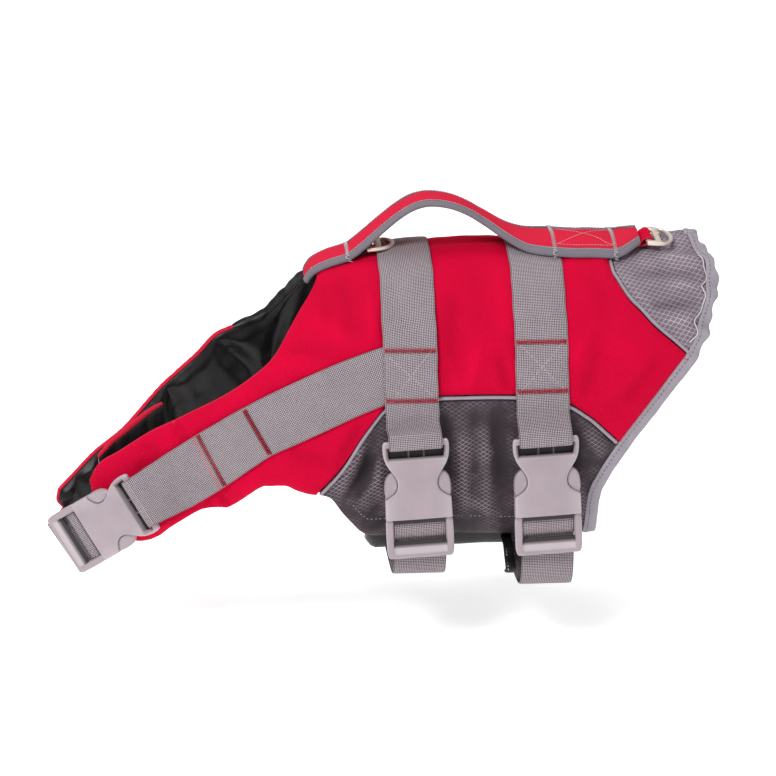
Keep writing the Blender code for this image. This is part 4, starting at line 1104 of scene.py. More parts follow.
RUMP_FOLDS = (
    # x and angle of one end, of the other end, half width, depth
    (124, 12, 156, 15, 4, -1.6), (140, 20, 164, 22, 3, 1.4), (126, 30, 162, 31, 4, -1.7),
    (138, 38, 165, 38, 3, 1.5), (128, 46, 160, 47, 4, -1.8), (140, 55, 158, 56, 3, 1.3),
    (122, -10, 154, -13, 4, -1.6), (138, -19, 166, -22, 3, 1.6), (120, -28, 164, -31, 4, -1.7),
    (142, -36, 168, -38, 3, 1.8), (124, -45, 164, -47, 4, -2.2), (138, -54, 160, -55, 3, 1.8),
    (112, -36, 130, -48, 4, 0.9), (106, -26, 124, -30, 5, -0.9),
)


class JACKET_OT_rump(bpy.types.Operator):
    """Make the ripstop rump panel with its gathered rim."""
    bl_idname = "jacket.rump"
    bl_label = "Rump panel"

    def execute(self, context):
        grids = []
        columns, rows = 72, 32
        for side, _ in SIDES:
            top = spread(on_side(RUMP_SEAM, side), columns, end=CORNER_TRIM)
            low = spread(on_side(RIM_RUMP, side), columns, end=CORNER_TRIM)
            front = spread(on_side(SPINE_RUMP, side), rows)
            rear = np.linspace(top[-1], low[-1], rows + 1)
            grids.append(patch(top, low, front, rear))
        piped = [on_side(RUMP_SEAM, side) for side, _ in SIDES]
        piece = cloth_panel("rump_cloth", grids, piped, PANEL_WALL, RUMP_PUFF, "rump", RUMP_FOLDS,
                            waves=0.35, wave_size=8.0, pucker=0.4)
        dress(piece, "rump_ripstop", "rump_panel")
        return {"FINISHED"}


# Sewn channels that part the foam lumps behind the lining of a chest flap, by x and angle
LINING_CHANNELS = (
    ((-133, 26), (-150, 44), (-160, 70), (-160, 100)),
    ((-210, 36), (-201, 46), (-193, 57), (-177, 77), (-170, 104)),
    ((-247, 48), (-243, 62), (-238, 82), (-232, 114)),
    ((-284, 50), (-276, 60), (-263, 76), (-256, 116)),
    ((-300, 48), (-301, 62), (-299, 80), (-290, 108)),
    ((-319, 52), (-320, 66), (-318, 82), (-312, 104)),
)
LINING_FINE = 6
LUMP_HEIGHT = 7.5
LUMP_REACH = 7.5
LINING_FOLDS = (
    (-150, 46, -138, 30, 6, -2.0), (-176, 50, -158, 42, 6, 1.8), (-188, 46, -172, 62, 7, -1.8),
    (-228, 46, -222, 70, 6, 1.6), (-262, 56, -256, 76, 6, -1.8), (-272, 56, -268, 74, 5, 1.4),
    (-292, 56, -288, 80, 5, -1.6), (-309, 58, -308, 80, 5, -1.4),
)
LINING_GAP = 0.4
LINING_STEPS = 12
TRUNK_STEPS = 11
NECK_ROLL = ((-196, 42), (-184, 43), (-166, 44), (-148, 34), (-139, 27), (-129, 18))
ROLL_HALVES = (2.3, 4.1)
BELLY_SAG = 8.6
SAG_FROM = 147


class JACKET_OT_lining(bpy.types.Operator):
    """Make the black lining of the whole garment."""
    bl_idname = "jacket.lining"
    bl_label = "Lining"

    def execute(self, context):
        grids = []
        for side, neck, front, lower in ((NEAR, NECK_NEAR, FRONT_NEAR, LOWER_NEAR),
                                         (FAR, NECK_FAR, FRONT_FAR, LOWER_FAR)):
            def along(rows, count, side=side):
                return spread(on_side(rows, side), count * LINING_FINE)

            spine = (SPINE_FRONT[0], SPINE_RUMP[-1])
            rim = joined(along(RIM_RUMP, 6), along(RIM_SIDE, 3), along(RIM_BELLY, 3))
            top = joined(along(neck, LINING_STEPS), along(spine, TRUNK_STEPS))
            low = joined(along(lower, LINING_STEPS), along(HEM, TRUNK_STEPS))
            grids.append(patch(top, low, along(front, LINING_STEPS), rim))
        piece = lining_cloth(grids)
        dress(piece, "black_satin", "lining")
        self.neck_roll()
        return {"FINISHED"}

    def neck_roll(self):
        """The lining rolls out over the far neck edge beside the handle."""
        places = spread(NECK_ROLL, 60)
        t = np.linspace(0, 1, len(places))
        normals = normals_of(places)
        points = skin_of(places, -1.3)
        out = np.cross(normals, unit(np.gradient(points, axis=0)))
        out *= np.where(out[:, :1] < 0, 1.0, -1.0)
        swell = np.clip(np.minimum(t, 1 - t) * 9, 0.15, 1)
        lumpy = 1 + 0.16 * np.sin(t * 37) * np.sin(t * 11 + 1)
        aside, up = ((swell * lumpy * half)[:, None] for half in ROLL_HALVES)
        rings = oval_rings(points, aside * out, up * normals, 14)
        dress(ring_loft("lining_roll", rings, "lining"), "black_satin")


def lining_cloth(grids):
    """The lining's own wall: its visible face is the inner one, so lumps go inwards."""
    places, faces = welded(grids)
    base, normals = lining_skin(places[:, 0], places[:, 1]), normals_of(places)
    border = open_edges(faces)
    shifts, _ = edge_pulls(base, border, lambda a, b: LINING_GAP)
    far, _ = nearest(base, base[[a for a, _, _ in border]])
    inside = np.clip(far / 7.0, 0, 1)
    channels = [on_side(smooth_rows(rows, step=1.5), side) for side, _ in SIDES
                for rows in LINING_CHANNELS]
    away, _ = nearest(base, np.vstack([skin_point(rows[:, 0], rows[:, 1]) for rows in channels]))
    shape = 1 - np.exp(-(np.minimum(away, far * 1.4) / LUMP_REACH) ** 2)
    chest = np.clip((-132 - places[:, 0]) / 20, 0, 1) * np.where(places[:, 1] > 0, 1.0, 0.3)
    folds = -LUMP_HEIGHT * shape * chest
    folds += (fold_depth(base, LINING_FOLDS) + slow_waves(base, 0.7, 10.0, 5)) * inside
    folds = np.minimum(folds, 0.8)
    meet = 1.4 * (1 - np.clip(far / 5.0, 0, 1)) ** 2
    seat = moved(base, shifts)
    outer = seat + normals * (LINING_TOP + meet + folds * 0.9)[:, None]
    inner = seat + normals * (LINING_TOP - LINING_WALL + meet + folds)[:, None]
    points, solid = closed_pair(outer, inner, faces)
    uv = np.column_stack([places[:, 0], girth_arc(places[:, 0], places[:, 1])])
    return make_object("lining_cloth", points, solid, "lining", np.tile(uv, (2, 1)),
                       {"ridge": np.tile(folds, 2)})


def belly_sag(x, angle, far):
    """The belly flap hangs onto the straps between the two hems."""
    turn = np.abs(np.where(np.abs(angle) > 180, 360 - np.abs(angle), angle))
    return BELLY_SAG * np.clip((turn - SAG_FROM) / 8, 0, 1) ** 0.8 * np.clip(far / 6 + 0.7, 0, 1)


class JACKET_OT_belly(bpy.types.Operator):
    """Make the black belly flap."""
    bl_idname = "jacket.belly"
    bl_label = "Belly flap"

    def execute(self, context):
        rows = []
        for angle in np.linspace(BELLY_FLAP[0][0], BELLY_FLAP[-1][0], 85):
            start = row_value(BELLY_FLAP, angle)
            end = row_value(BELLY_FLAP, angle, 2)
            rows.append([(x, NEAR * angle) for x in np.linspace(start, end, 45)])
        piece = cloth_panel("belly_cloth", [np.array(rows)], [], BELLY_WALL, 0.0, "lining",
                            top=BELLY_TOP, waves=0.35, wave_size=12.0, lift_more=belly_sag)
        dress(piece, "black_satin", "belly_panel")
        return {"FINISHED"}


# Trims
def oval_rings(points, aside, up, sides):
    """Rings round points; aside and up are each ring's two half axes."""
    turns = np.linspace(0, 2 * np.pi, sides, endpoint=False)[None, :, None]
    return points[:, None] + np.cos(turns) * aside[:, None] + np.sin(turns) * up[:, None]


def tube_rings(points, normals, radius, sides):
    """Rings of a round cord along points."""
    tangents = unit(np.gradient(points, axis=0))
    side = unit(np.cross(normals, tangents))
    return oval_rings(points, radius * side, radius * np.cross(tangents, side), sides)


CORD_LIFT = PIPING_LIFT + 0.75
CORD_RADIUS = 1.4
CORD_WOBBLE = 0.18


class JACKET_OT_pipings(bpy.types.Operator):
    """Make the grey piping between the red, side and rump cloth."""
    bl_idname = "jacket.pipings"
    bl_label = "Pipings"

    def execute(self, context):
        arch = joined(spread(ARCH_FRONT, 12), spread(ARCH_REAR, 16))
        for side, label in SIDES:
            places = spread(on_side(arch, side), 150, start=1.5, end=2.5)
            self.cord("piping_cord_" + label, places, "piping_side_" + label)
        self.cord("piping_cord_rump", over_spine(spread(RUMP_SEAM, 80, end=0.6)), "piping_rump")
        return {"FINISHED"}

    def cord(self, name, places, node):
        numbers = np.arange(len(places))
        wobble = CORD_WOBBLE * np.sin(numbers * 0.9) * np.sin(numbers * 0.23)
        points = skin_of(places, CORD_LIFT + wobble)
        piece = ring_loft(name, tube_rings(points, normals_of(places), CORD_RADIUS, 12), "tape")
        dress(piece, "grey_tape", node)


BINDING_WIDTH = 8.6
BINDING_INNER = -0.9
BINDING_UNDER = -5.0
BINDING_OVER = 1.7


def rim_frame(rump, side, belly):
    """Places, points, outward directions and normals round the rear opening, by step counts."""
    places = over_spine(joined(spread(RIM_RUMP, rump), spread(RIM_SIDE, side),
                               spread(RIM_BELLY, belly)))
    path, normals = skin_of(places), normals_of(places)
    out = unit(np.cross(normals, unit(np.gradient(path, axis=0))))
    return places, path, out * np.where(out[:, :1] > 0, 1.0, -1.0), normals


class JACKET_OT_binding(bpy.types.Operator):
    """Make the gathered tape round the rear opening."""
    bl_idname = "jacket.binding"
    bl_label = "Rear binding"

    def execute(self, context):
        places, path, out, normals = rim_frame(150, 40, 26)
        way = along_lengths(path)
        gather = np.clip((75 - np.abs(places[:, 1])) / 12, 0.12, 1)
        pinch = gather * (0.7 * np.sin(way / 1.9) + 0.7 * np.sin(way / 4.3 + 1.0))
        width = (BINDING_WIDTH - 1.4 * gather
                 + gather * (1.3 * np.sin(way / 6.1 + 0.7) + 0.8 * np.sin(way / 2.7)))
        rings = []
        for k in range(len(path)):
            w, p = width[k], pinch[k]
            profile = ((BINDING_INNER, BINDING_UNDER), (w * 0.5, BINDING_UNDER - 0.2),
                       (w, BINDING_UNDER + 1 + p), (w + 0.9, -3.2 + p), (w + 1.1, -1.6 + p),
                       (w + 0.6, 0.1 + p), (w - 0.8, 0.9 + p * 0.8),
                       (w * 0.55, BINDING_OVER - 0.6 + p * 0.5),
                       (BINDING_INNER + 1.5, BINDING_OVER - 0.1),
                       (BINDING_INNER, BINDING_OVER - 0.5))
            rings.append([path[k] + out[k] * a + normals[k] * b for a, b in profile])
        piece = ring_loft("binding_tape", rings, "tape", 60)
        dress(piece, "grey_tape", "rear_binding")
        return {"FINISHED"}


# Webbing
def girth_x(middle, angle):
    return middle + GIRTH_LEAN * np.clip(np.abs(angle) - GIRTH_LEAN_FROM, 0, None)


def frame_matrix(origin, along, across):
    u = Vector(along).normalized()
    v = Vector(across)
    v = (v - u * v.dot(u)).normalized()
    w = u.cross(v)
    rows = Matrix((u, v, w)).transposed().to_4x4()
    rows.translation = Vector(origin)
    return rows


def buckle_place(index):
    along = (SIDE_BUCKLE_LEAN, 0.0, -1.0)
    across = (1.0, 0.0, SIDE_BUCKLE_LEAN)
    return (GIRTH_STRAPS[index][2], SIDE_BUCKLE_Y, SIDE_BUCKLE_TOP), along, across


def chest_place():
    along = Vector(CHEST_ALONG).normalized()
    return tuple(Vector(CHEST_BAR) - along * BAR_MIDDLE), CHEST_ALONG, CHEST_ACROSS


def from_buckle(place, u, v, w):
    return np.array(frame_matrix(*place) @ Vector((u, v, w)))


def face_sign(place):
    w = Vector(place[1]).cross(Vector(place[2]))
    return 1 if w.y < 0 else -1


WEB_COLUMNS = 15
WEB_SELVEDGE = 1.2


def web_offsets():
    """Places across the webbing, closer at its two selvedges."""
    half = bpy.context.scene.jacket_sizes.strap_width / MM / 2
    inner = np.linspace(-half + WEB_SELVEDGE, half - WEB_SELVEDGE, WEB_COLUMNS - 2)
    return np.concatenate([[-half], inner, [half]])


def buckle_rows(place, table):
    """Rows across the webbing where it runs through a buckle, from a table of u and w."""
    sign = face_sign(place)
    return [[from_buckle(place, u, v, sign * w) for v in web_offsets()] for u, w in table]


def lay_webbing(name, grid, node):
    piece = cloth_band(name, grid, WEB_WALL, "webbing")
    dress(piece, "grey_webbing", node)


def girth_lift(label, angle):
    """How high a girth strap lies over the cloth at an angle."""
    over_chest_strap = label == "front" and CHEST_LAP[0] - 3 <= abs(angle) <= CHEST_LAP[1] + 3
    if over_chest_strap or angle > LOOP_LAP:
        return LAP_LIFT
    return row_value(WEB_LIFTS, abs(angle))


def smooth_values(values, passes=6):
    values = np.array(values, float)
    for _ in range(passes):
        values[1:-1] = (values[:-2] + 2 * values[1:-1] + values[2:]) / 4
    return values


def girth_rows(label, middle, step=2.0):
    angles = np.arange(GIRTH_ENDS[0], GIRTH_ENDS[1] + 0.1, step)
    lifts = smooth_values([girth_lift(label, a) for a in angles])
    offsets = web_offsets()
    cup = 0.35 * (offsets / offsets[-1]) ** 2
    rows = []
    for angle, lift in zip(angles, lifts):
        sway = 0.25 * math.sin(angle * 0.19) + 0.15 * math.sin(angle * 0.47)
        rows.append(skin(girth_x(middle, angle) + offsets + sway, angle, lift + 0.2 - cup))
    return rows


class JACKET_OT_girth_straps(bpy.types.Operator):
    """Make the two straps over the back and their lower lengths under the belly."""
    bl_idname = "jacket.girth_straps"
    bl_label = "Girth straps"

    def execute(self, context):
        for index, (label, middle, _) in enumerate(GIRTH_STRAPS):
            self.strap(index, label, middle)
            self.loop(index, label, middle)
        return {"FINISHED"}

    def strap(self, index, label, middle):
        turn = buckle_rows(buckle_place(index), smooth_rows(BAR_TURN, step=0.8)[::-1])
        body = girth_rows(label, middle)
        link = refined([turn[-8], turn[-1], body[0], body[4]], 5)[6:10]
        lay_webbing("strap_over_" + label, [*turn, *link, *body], "girth_strap_" + label)

    def loop(self, index, label, middle):
        place = buckle_place(index)
        rows = buckle_rows(place, WINDOW_RUN)
        offsets = web_offsets()
        table = (LOOP_FRONT, LOOP_REAR)[index]
        lower_x = from_buckle(place, LOOP_START, 0, 0)[0]
        far_x = girth_x(middle, LOOP_END_ANGLES[0])
        for k, (y, z) in enumerate(table):
            x = lower_x + (far_x - lower_x) * k / len(table)
            rows.append([np.array([x + offset, y, z]) for offset in offsets])
        rows += [skin(girth_x(middle, angle) + offsets, angle, LOOP_END_LIFT)
                 for angle in LOOP_END_ANGLES]
        lay_webbing("strap_under_" + label, refined(rows, 4), "girth_loop_" + label)


def chest_rows(table, side, parts=9):
    """Rows across the chest strap, held to the width of the webbing."""
    table = np.array(table, float)
    fine = [row for a, b in zip(table, table[1:]) for row in (a, a + (b - a) * 0.5)]
    offsets = web_offsets()
    shares = (offsets - offsets[0]) / (offsets[-1] - offsets[0])
    cup = 0.3 * (offsets / offsets[-1]) ** 2
    fine = refined([*fine, table[-1]], parts)
    rows = []
    for n, (upper_x, upper_angle, lower_x, lower_angle) in enumerate(fine):
        x = upper_x + (lower_x - upper_x) * shares
        angle = upper_angle + (lower_angle - upper_angle) * shares
        span = np.linalg.norm(skin_point(x[-1], angle[-1]) - skin_point(x[0], angle[0]))
        trim = (1 + 2 * offsets[-1] / span) / 2
        middle_x, middle_angle = (upper_x + lower_x) / 2, (upper_angle + lower_angle) / 2
        x, angle = middle_x + (x - middle_x) * trim, middle_angle + (angle - middle_angle) * trim
        wave = 0.25 * math.sin(n * 0.21) + 0.15 * math.sin(n * 0.083 + 1)
        rows.append(skin(x, side * angle, WEB_LIFT + 0.15 - cup + wave * 0.5))
    return rows


class JACKET_OT_chest_straps(bpy.types.Operator):
    """Make the near and far lengths of the chest strap."""
    bl_idname = "jacket.chest_straps"
    bl_label = "Chest straps"

    def execute(self, context):
        place = chest_place()
        rows = chest_rows(CHEST_STRAP_NEAR, NEAR)
        turn = buckle_rows(place, smooth_rows(BAR_TURN[1:], step=0.8))
        link = refined([rows[-12], rows[-1], turn[0], turn[3]], 6)[7:12]
        lay_webbing("chest_strap_cloth_near", [*rows, *link, *turn], "chest_strap_near")

        rows = buckle_rows(place, WINDOW_RUN)
        far_rows = chest_rows(CHEST_STRAP_FAR, FAR, parts=5)[::-1]
        middle_column = WEB_COLUMNS // 2
        middles = smooth_rows([rows[-1][middle_column], *CHEST_RUN, far_rows[0][middle_column]],
                              step=9.0)[1:-1]
        start, end = (row[-1] - row[0] for row in (rows[-1], far_rows[0]))
        run = []
        for k, middle in enumerate(middles):
            t = (k + 1) / (len(middles) + 1)
            across = unit(start * (1 - t) + end * t)
            run.append([middle + across * offset for offset in web_offsets()])
        grid = [*refined([*rows, *run, far_rows[0]], 3), *far_rows[1:]]
        lay_webbing("chest_strap_cloth_far", grid, "chest_strap_far")
        return {"FINISHED"}


# Buckles
# The socket: u, half width, half height of the plate
SOCKET_ROWS = (
    (0.0, 23.0, 2.0), (0.8, 24.2, 2.4), (3.2, 25.0, 2.8), (8.5, 25.0, 3.2), (13.0, 24.4, 3.7),
    (18.5, 22.3, 4.5), (24.5, 18.4, 5.2), (29.0, 15.8, 5.5), (33.0, 15.0, 5.6), (36.5, 15.3, 5.6),
    (39.8, 17.0, 5.6), (42.6, 20.4, 5.6), (45.0, 24.4, 5.6), (46.6, 25.0, 5.6), (54.0, 25.2, 5.6),
    (61.4, 25.3, 5.6), (62.2, 25.2, 5.5),
)
SOCKET_SLOT = (21.2, 4.9, 14.2)
# The prong plate's frame: u, half width, half height
FRAME_ROWS = (
    (61.0, 22.0, 2.8), (63.2, 24.8, 3.0), (66.0, 25.4, 3.05), (75.0, 25.6, 3.05),
    (84.0, 25.5, 3.05), (89.0, 25.4, 3.0), (92.8, 24.4, 2.7), (94.2, 22.6, 2.2),
)
# Slot and window: half width, start and end along u
FRAME_WINDOW = (19.8, 65.6, 80.6)
# One prong: u, inner and outer edge across, half height
PRONG_ROWS = (
    (24.6, 15.2, 18.6, 1.9), (25.6, 14.6, 20.6, 2.3), (27.5, 14.0, 22.6, 2.7),
    (31.0, 13.6, 24.4, 3.0), (37.5, 13.3, 25.2, 3.05), (43.6, 13.0, 24.7, 3.0),
    (47.6, 13.0, 22.6, 2.9), (56.0, 13.0, 22.4, 2.8), (62.4, 13.0, 22.4, 2.8),
)
EDGE_ROUND = 1.9
FRAME_ROUND = 1.4
PRONG_ROUND = 1.5
HOLE_CLEAR = 0.35
PLATE_HALF = 25.0
THINNEST = 0.25


def as_points(u, v, w):
    return np.stack(np.broadcast_arrays(u, v, w), axis=2).reshape(-1, 3)


def plate_piece(rows, hole, groove, edge=EDGE_ROUND, crown=0.10, columns=30, step=0.9):
    """A moulded plate with rounded edges: points in u, v, w and four-sided faces.

    The plate is a grid whose columns follow its half width. Its face falls off to the edge in a
    round of the given size, and a slot or window is left out of the grid and rounded too."""
    fine = smooth_rows(rows, step=step)
    fine = fine[np.argsort(fine[:, 0])]
    half, low, high = hole
    us = fine[:, 0]
    clear = (np.abs(us - low) > HOLE_CLEAR) & (np.abs(us - high) > HOLE_CLEAR)
    us = np.sort(np.concatenate([us[clear], [low, high]]))
    halves, heights = (np.interp(us, fine[:, 0], fine[:, k])[:, None] for k in (1, 2))
    shares = np.sin(np.linspace(-np.pi / 2, np.pi / 2, columns + 1))
    share = half / np.interp((low + high) / 2, us, halves[:, 0])
    nearest_column = int(np.argmin(np.abs(shares - share)))
    shares[nearest_column] = share
    shares[columns - nearest_column] = -share
    grid_u, grid_s = np.meshgrid(us, shares, indexing="ij")
    grid_v = grid_s * halves
    away = np.minimum((1 - np.abs(grid_s)) * halves, np.minimum(grid_u - us[0], us[-1] - grid_u))
    out = (np.maximum(low - grid_u, grid_u - high), np.abs(grid_v) - share * halves)
    away = np.minimum(away, np.hypot(*(np.where(gap < 1e-6, 0.0, gap) for gap in out)))
    middle_u = (us[:-1, None] + us[1:, None]) / 2
    middle_s = (shares[:-1] + shares[1:]) / 2
    keep = ~((middle_u > low) & (middle_u < high) & (np.abs(middle_s) < share))
    tall = heights * (1 - crown * (grid_v / PLATE_HALF) ** 2)
    w = np.maximum(tall - edge * (1 - crowned(away / edge)) - groove(grid_u, grid_v), THINNEST)
    return used_only(*closed_pair(as_points(grid_u, grid_v, w),
                                  as_points(grid_u, grid_v, -np.minimum(w, tall)),
                                  grid_faces(*grid_u.shape, keep)))


def used_only(points, faces):
    """Leave out the points that no face uses."""
    used = sorted({k for face in faces for k in face})
    index = {k: n for n, k in enumerate(used)}
    return points[used], [tuple(index[k] for k in face) for face in faces]


def prong_part(side):
    """One sprung arm with its thumb pad."""
    u, inner, outer, tall = np.split(refined(PRONG_ROWS, 4), 4, axis=1)
    shares = np.linspace(0, 1, 13)[None]
    width = outer - inner
    away = np.minimum(np.minimum(shares, 1 - shares) * width, np.minimum(u - u[0], u[-1] - u))
    w = tall - PRONG_ROUND * (1 - crowned(away / PRONG_ROUND))
    pad = 0.6 * np.exp(-((u - 37) / 7) ** 2) * (shares - 0.2).clip(0)
    v = side * (inner + width * shares)
    return closed_pair(as_points(u, v, w + pad), as_points(u, v, -w), grid_faces(*w.shape))


def shaded_slot_inside():
    """The inside of the socket behind its slot, with two low ribs, painted nearly black as shade,
    the ribs less so.
    """
    u, v = np.meshgrid(np.linspace(7.4, 15.2, 10), np.linspace(-20.9, 20.9, 85), indexing="ij")
    rib = sum(np.exp(-((v - centre) / 0.7) ** 2) for centre in (-5.5, 6.0))
    top, low = as_points(u, v, -2.6 + 1.7 * rib), as_points(u, v, -3.2)
    # Painted shade: nearly black over the plate, lighter on the ribs.
    dark = 0.97 - 0.55 * np.tile(rib.ravel(), 2)
    return closed_pair(top, low, grid_faces(*u.shape)), dark


def socket_dish(u, v):
    """A faint dish in the middle of the socket's face."""
    return 0.25 * np.exp(-((u - 30) / 9) ** 2 - (v / 9) ** 2)


def end_bar_groove(u, v):
    """The hollow in front of the end bar, where the webbing dives."""
    deep = 2.6 * np.clip((85.6 - u) / 1.6, 0, 1)
    bar = 0.9 * np.clip((91.0 - u) / 0.8, 0, 1)
    return np.maximum(deep, bar) * (u > 80.2) * (np.abs(v) < 20.4)


def recess(u, v):
    """How much painted shade a place of the prong plate gets: under the socket's end, beside the end
    bar and along the socket's sides.
    """
    under = np.clip((66.6 - u) / 0.8, 0, 1) * (u > 61.4) * (np.abs(v) < 20.2) * 0.92
    hollow = np.clip((84.6 - u) / 1.0, 0, 1) * (u > 80.2) * (np.abs(v) < 20.4)
    edges = np.interp(u, [row[0] for row in SOCKET_ROWS], [row[1] for row in SOCKET_ROWS])
    beside = np.clip(1 - (np.abs(v) - edges - 0.1) / 0.9, 0, 1) * (u < 46.5)
    return np.maximum(under, np.maximum(0.93 * hollow, 0.85 * beside))


def rim_highlight_marks(parts):
    """1 where a part's face turns down to an edge, 0 on its flats; it masks the painted highlight
    along edges.
    """
    marks = []
    for points, _ in parts:
        tall = np.abs(points[:, 2])
        top = np.array([tall[np.abs(points[:, 0] - u) < 1.2].max() for u in points[:, 0]])
        marks.append(np.clip((top - tall - 0.15) / 0.7, 0, 1) * np.clip((top - tall) < 1.3, 0, 1))
    return np.concatenate(marks)


def placed(parts, place):
    """Move parts given in a buckle's frame to their place, as one list of points and faces."""
    matrix = np.array(frame_matrix(*place))
    mirror = np.array([1.0, 1.0, face_sign(place)])
    points, faces = [], []
    start = 0
    for part_points, part_faces in parts:
        points.append(part_points * mirror @ matrix[:3, :3].T + matrix[:3, 3])
        faces += [tuple(k + start for k in face) for face in part_faces]
        start += len(part_points)
    return np.vstack(points), faces


class JACKET_OT_buckles(bpy.types.Operator):
    """Make the three fastened side-release buckles."""
    bl_idname = "jacket.buckles"
    bl_label = "Buckles"

    def execute(self, context):
        socket = [plate_piece(SOCKET_ROWS, SOCKET_SLOT, socket_dish)]
        frame_plate = plate_piece(FRAME_ROWS, FRAME_WINDOW, end_bar_groove, FRAME_ROUND, crown=0.05)
        plate = [frame_plate, prong_part(-1), prong_part(1)]
        inside, dark = shaded_slot_inside()
        u, v, _ = np.vstack([points for points, _ in plate]).T
        # Marks for the painted highlight along edges and the painted shade in hollows.
        plate_marks = {"rim": rim_highlight_marks(plate), "recess": recess(u, v)}
        places = {"front": buckle_place(0), "rear": buckle_place(1), "chest": chest_place()}
        for label, place in places.items():
            self.part("socket_shell_" + label, socket, place, {"rim": rim_highlight_marks(socket)},
                      "buckle_socket_" + label)
            # The plate behind the slot is painted dark as shade.
            self.part("socket_inside_" + label, [inside], place, {"recess": dark})
            self.part("prong_plate_" + label, plate, place, plate_marks, "buckle_prong_" + label)
        return {"FINISHED"}

    def part(self, name, parts, place, marks, *nodes):
        points, faces = placed(parts, place)
        piece = make_object(name, points, faces, "plastic", points[:, :2], marks)
        dress(piece, "grey_plastic", *nodes)


# Handle
def handle_frames(step=3.0):
    """The handle's row, middle and upward direction at each step along it."""
    fine = smooth_rows(HANDLE, step=step)
    middle = np.column_stack([fine[:, 0], fine[:, 1], body_at(fine[:, 0])[:, 0] + fine[:, 2]])
    normals = unit(np.cross(np.gradient(middle, axis=0), (0.0, 1.0, 0.0)))
    normals *= np.where(normals[:, 2:] > 0, 1.0, -1.0)
    return list(zip(fine, middle, normals))


def handle_point(frame_row, v, w):
    """A point of the band: v across it from its middle, w out of it."""
    row, point, normal = frame_row
    spine, wide, _, half, _ = body_at(row[0])
    share = min(abs((row[1] + v) / half), 0.95)
    drop = (spine - wide) * (1 - math.sqrt(1 - share**2))
    return point + np.array([0, v, -row[3] * drop]) + normal * w


def handle_arc(v):
    """How the padding falls off from the middle of the band to its edge."""
    return 1 - abs(v) ** 2.6


class JACKET_OT_handle(bpy.types.Operator):
    """Make the padded handle and its two bindings."""
    bl_idname = "jacket.handle"
    bl_label = "Handle"

    def execute(self, context):
        frames = handle_frames()
        rings = []
        shares = np.linspace(-1, 1, 15)
        seam = HANDLE_EDGE_WALL / 2 - 0.9
        for n, row in enumerate(frames):
            half = row[0][5] - HANDLE_BINDING + 0.9
            puff = (row[0][4] - HANDLE_EDGE_WALL) / 2
            crumple = 0.35 * math.sin(n * 0.55) * math.sin(n * 0.17 + 0.6)
            upper = [handle_point(row, v * half, seam + (puff + 1.2 + crumple) * handle_arc(v))
                     for v in shares]
            lower = [handle_point(row, v * half, -seam - (puff + 0.4) * handle_arc(v))
                     for v in shares[::-1]]
            rings.append(upper + lower)
        band = ring_loft("handle_pad", rings, "canvas")
        dress(band, "red_canvas", "handle_band")
        for sign, label in SIDES:
            self.binding(frames, sign, label)
        return {"FINISHED"}

    def binding(self, frames, sign, label):
        rings = []
        half = HANDLE_EDGE_WALL / 2
        for n, row in enumerate(frames):
            outer = row[0][5]
            inner = outer - HANDLE_BINDING
            wave = 0.30 * math.sin(n * 0.9) * math.sin(n * 0.37 + 1) + 0.2 * math.sin(n * 0.31)
            profile = ((inner, half + 0.5), (inner + 0.7, half + 0.85),
                       (inner + 2.4, half + 0.55 + wave), (outer - 1.4, half + 0.25 + wave),
                       (outer - 0.3, half - 0.6), (outer + 0.1, 0.0),
                       (outer - 0.3, -half + 0.6), (outer - 1.4, -half - 0.25),
                       (inner + 2.4, -half - 0.5), (inner + 0.7, -half - 0.8), (inner, -half - 0.5))
            rings.append([handle_point(row, sign * v, w) for v, w in profile])
        piece = ring_loft("handle_edge_" + label, rings, "handle_tape", 60)
        dress(piece, "grey_tape", "handle_binding_" + label)


# D-rings
def ring_place(x, y, height, droop, tilt):
    half = float(body_at(x)[3])
    cloth = skin_point(x, math.degrees(math.asin(y / half)))
    tip, turn = math.radians(droop), math.radians(tilt)
    return ((x, y, float(cloth[2]) + height), (math.cos(tip), 0.0, -math.sin(tip)),
            (0.0, math.cos(turn), math.sin(turn)))


def d_outline(half, low, straight, top, corner, turns=14):
    """Half of a D: a straight foot with a cut corner, then a quarter round; v and u."""
    rows = [(half - corner, low), (half - corner * 0.3, low + corner * 0.3), (half, low + corner)]
    rows += [(half * math.cos(turn), straight + (top - straight) * math.sin(turn))
             for turn in (math.pi / 2 * k / turns for k in range(turns))]
    rows.append((0.5, top))
    return rows + [(-v, u) for v, u in reversed(rows)]


def slot_outline(half, low, high, corner):
    """A slot with cut corners; v and u."""
    rows = [(half - corner, low), (half, low + corner), (half, high - corner), (half - corner, high)]
    return rows + [(-v, u) for v, u in reversed(rows)]


def curve_holder(name, paths, closed, **settings):
    """A curve object with one straight-lined run for each path."""
    curve = bpy.data.curves.new(name, "CURVE")
    for key, value in settings.items():
        setattr(curve, key, value)
    for path in paths:
        spline = curve.splines.new("POLY")
        spline.points.add(len(path) - 1)
        spline.use_cyclic_u = closed
        for knot, point in zip(spline.points, path):
            knot.co = (*point, 1.0)
    return add_object(name + "_guide", curve)


def bevelled_plate(outlines, half, edge, segments):
    """A flat plate with holes and rounded edges, in its own frame in millimetres."""
    paths = [[(u, v, 0.0) for v, u in outline] for outline in outlines]
    mesh = plain_mesh(curve_holder(
        "outline", paths, True, dimensions="2D", fill_mode="BOTH", extrude=half - edge,
        bevel_depth=edge, bevel_resolution=segments, offset=-edge), weld=0.01)
    points = np.array([tuple(v.co) for v in mesh.vertices])
    faces = [tuple(p.vertices) for p in mesh.polygons]
    bpy.data.meshes.remove(mesh)
    return points, faces


# Outlines of a ring: the opening, and the slot for the tab
RING_OPENING = (9.9, 10.8, 0.8)
RING_SLOT = (10.6, 1.9, 5.2, 1.0)
RING_SHOULDER = 6.0
RING_CORNER = 1.5
RING_ROUND = 1.15


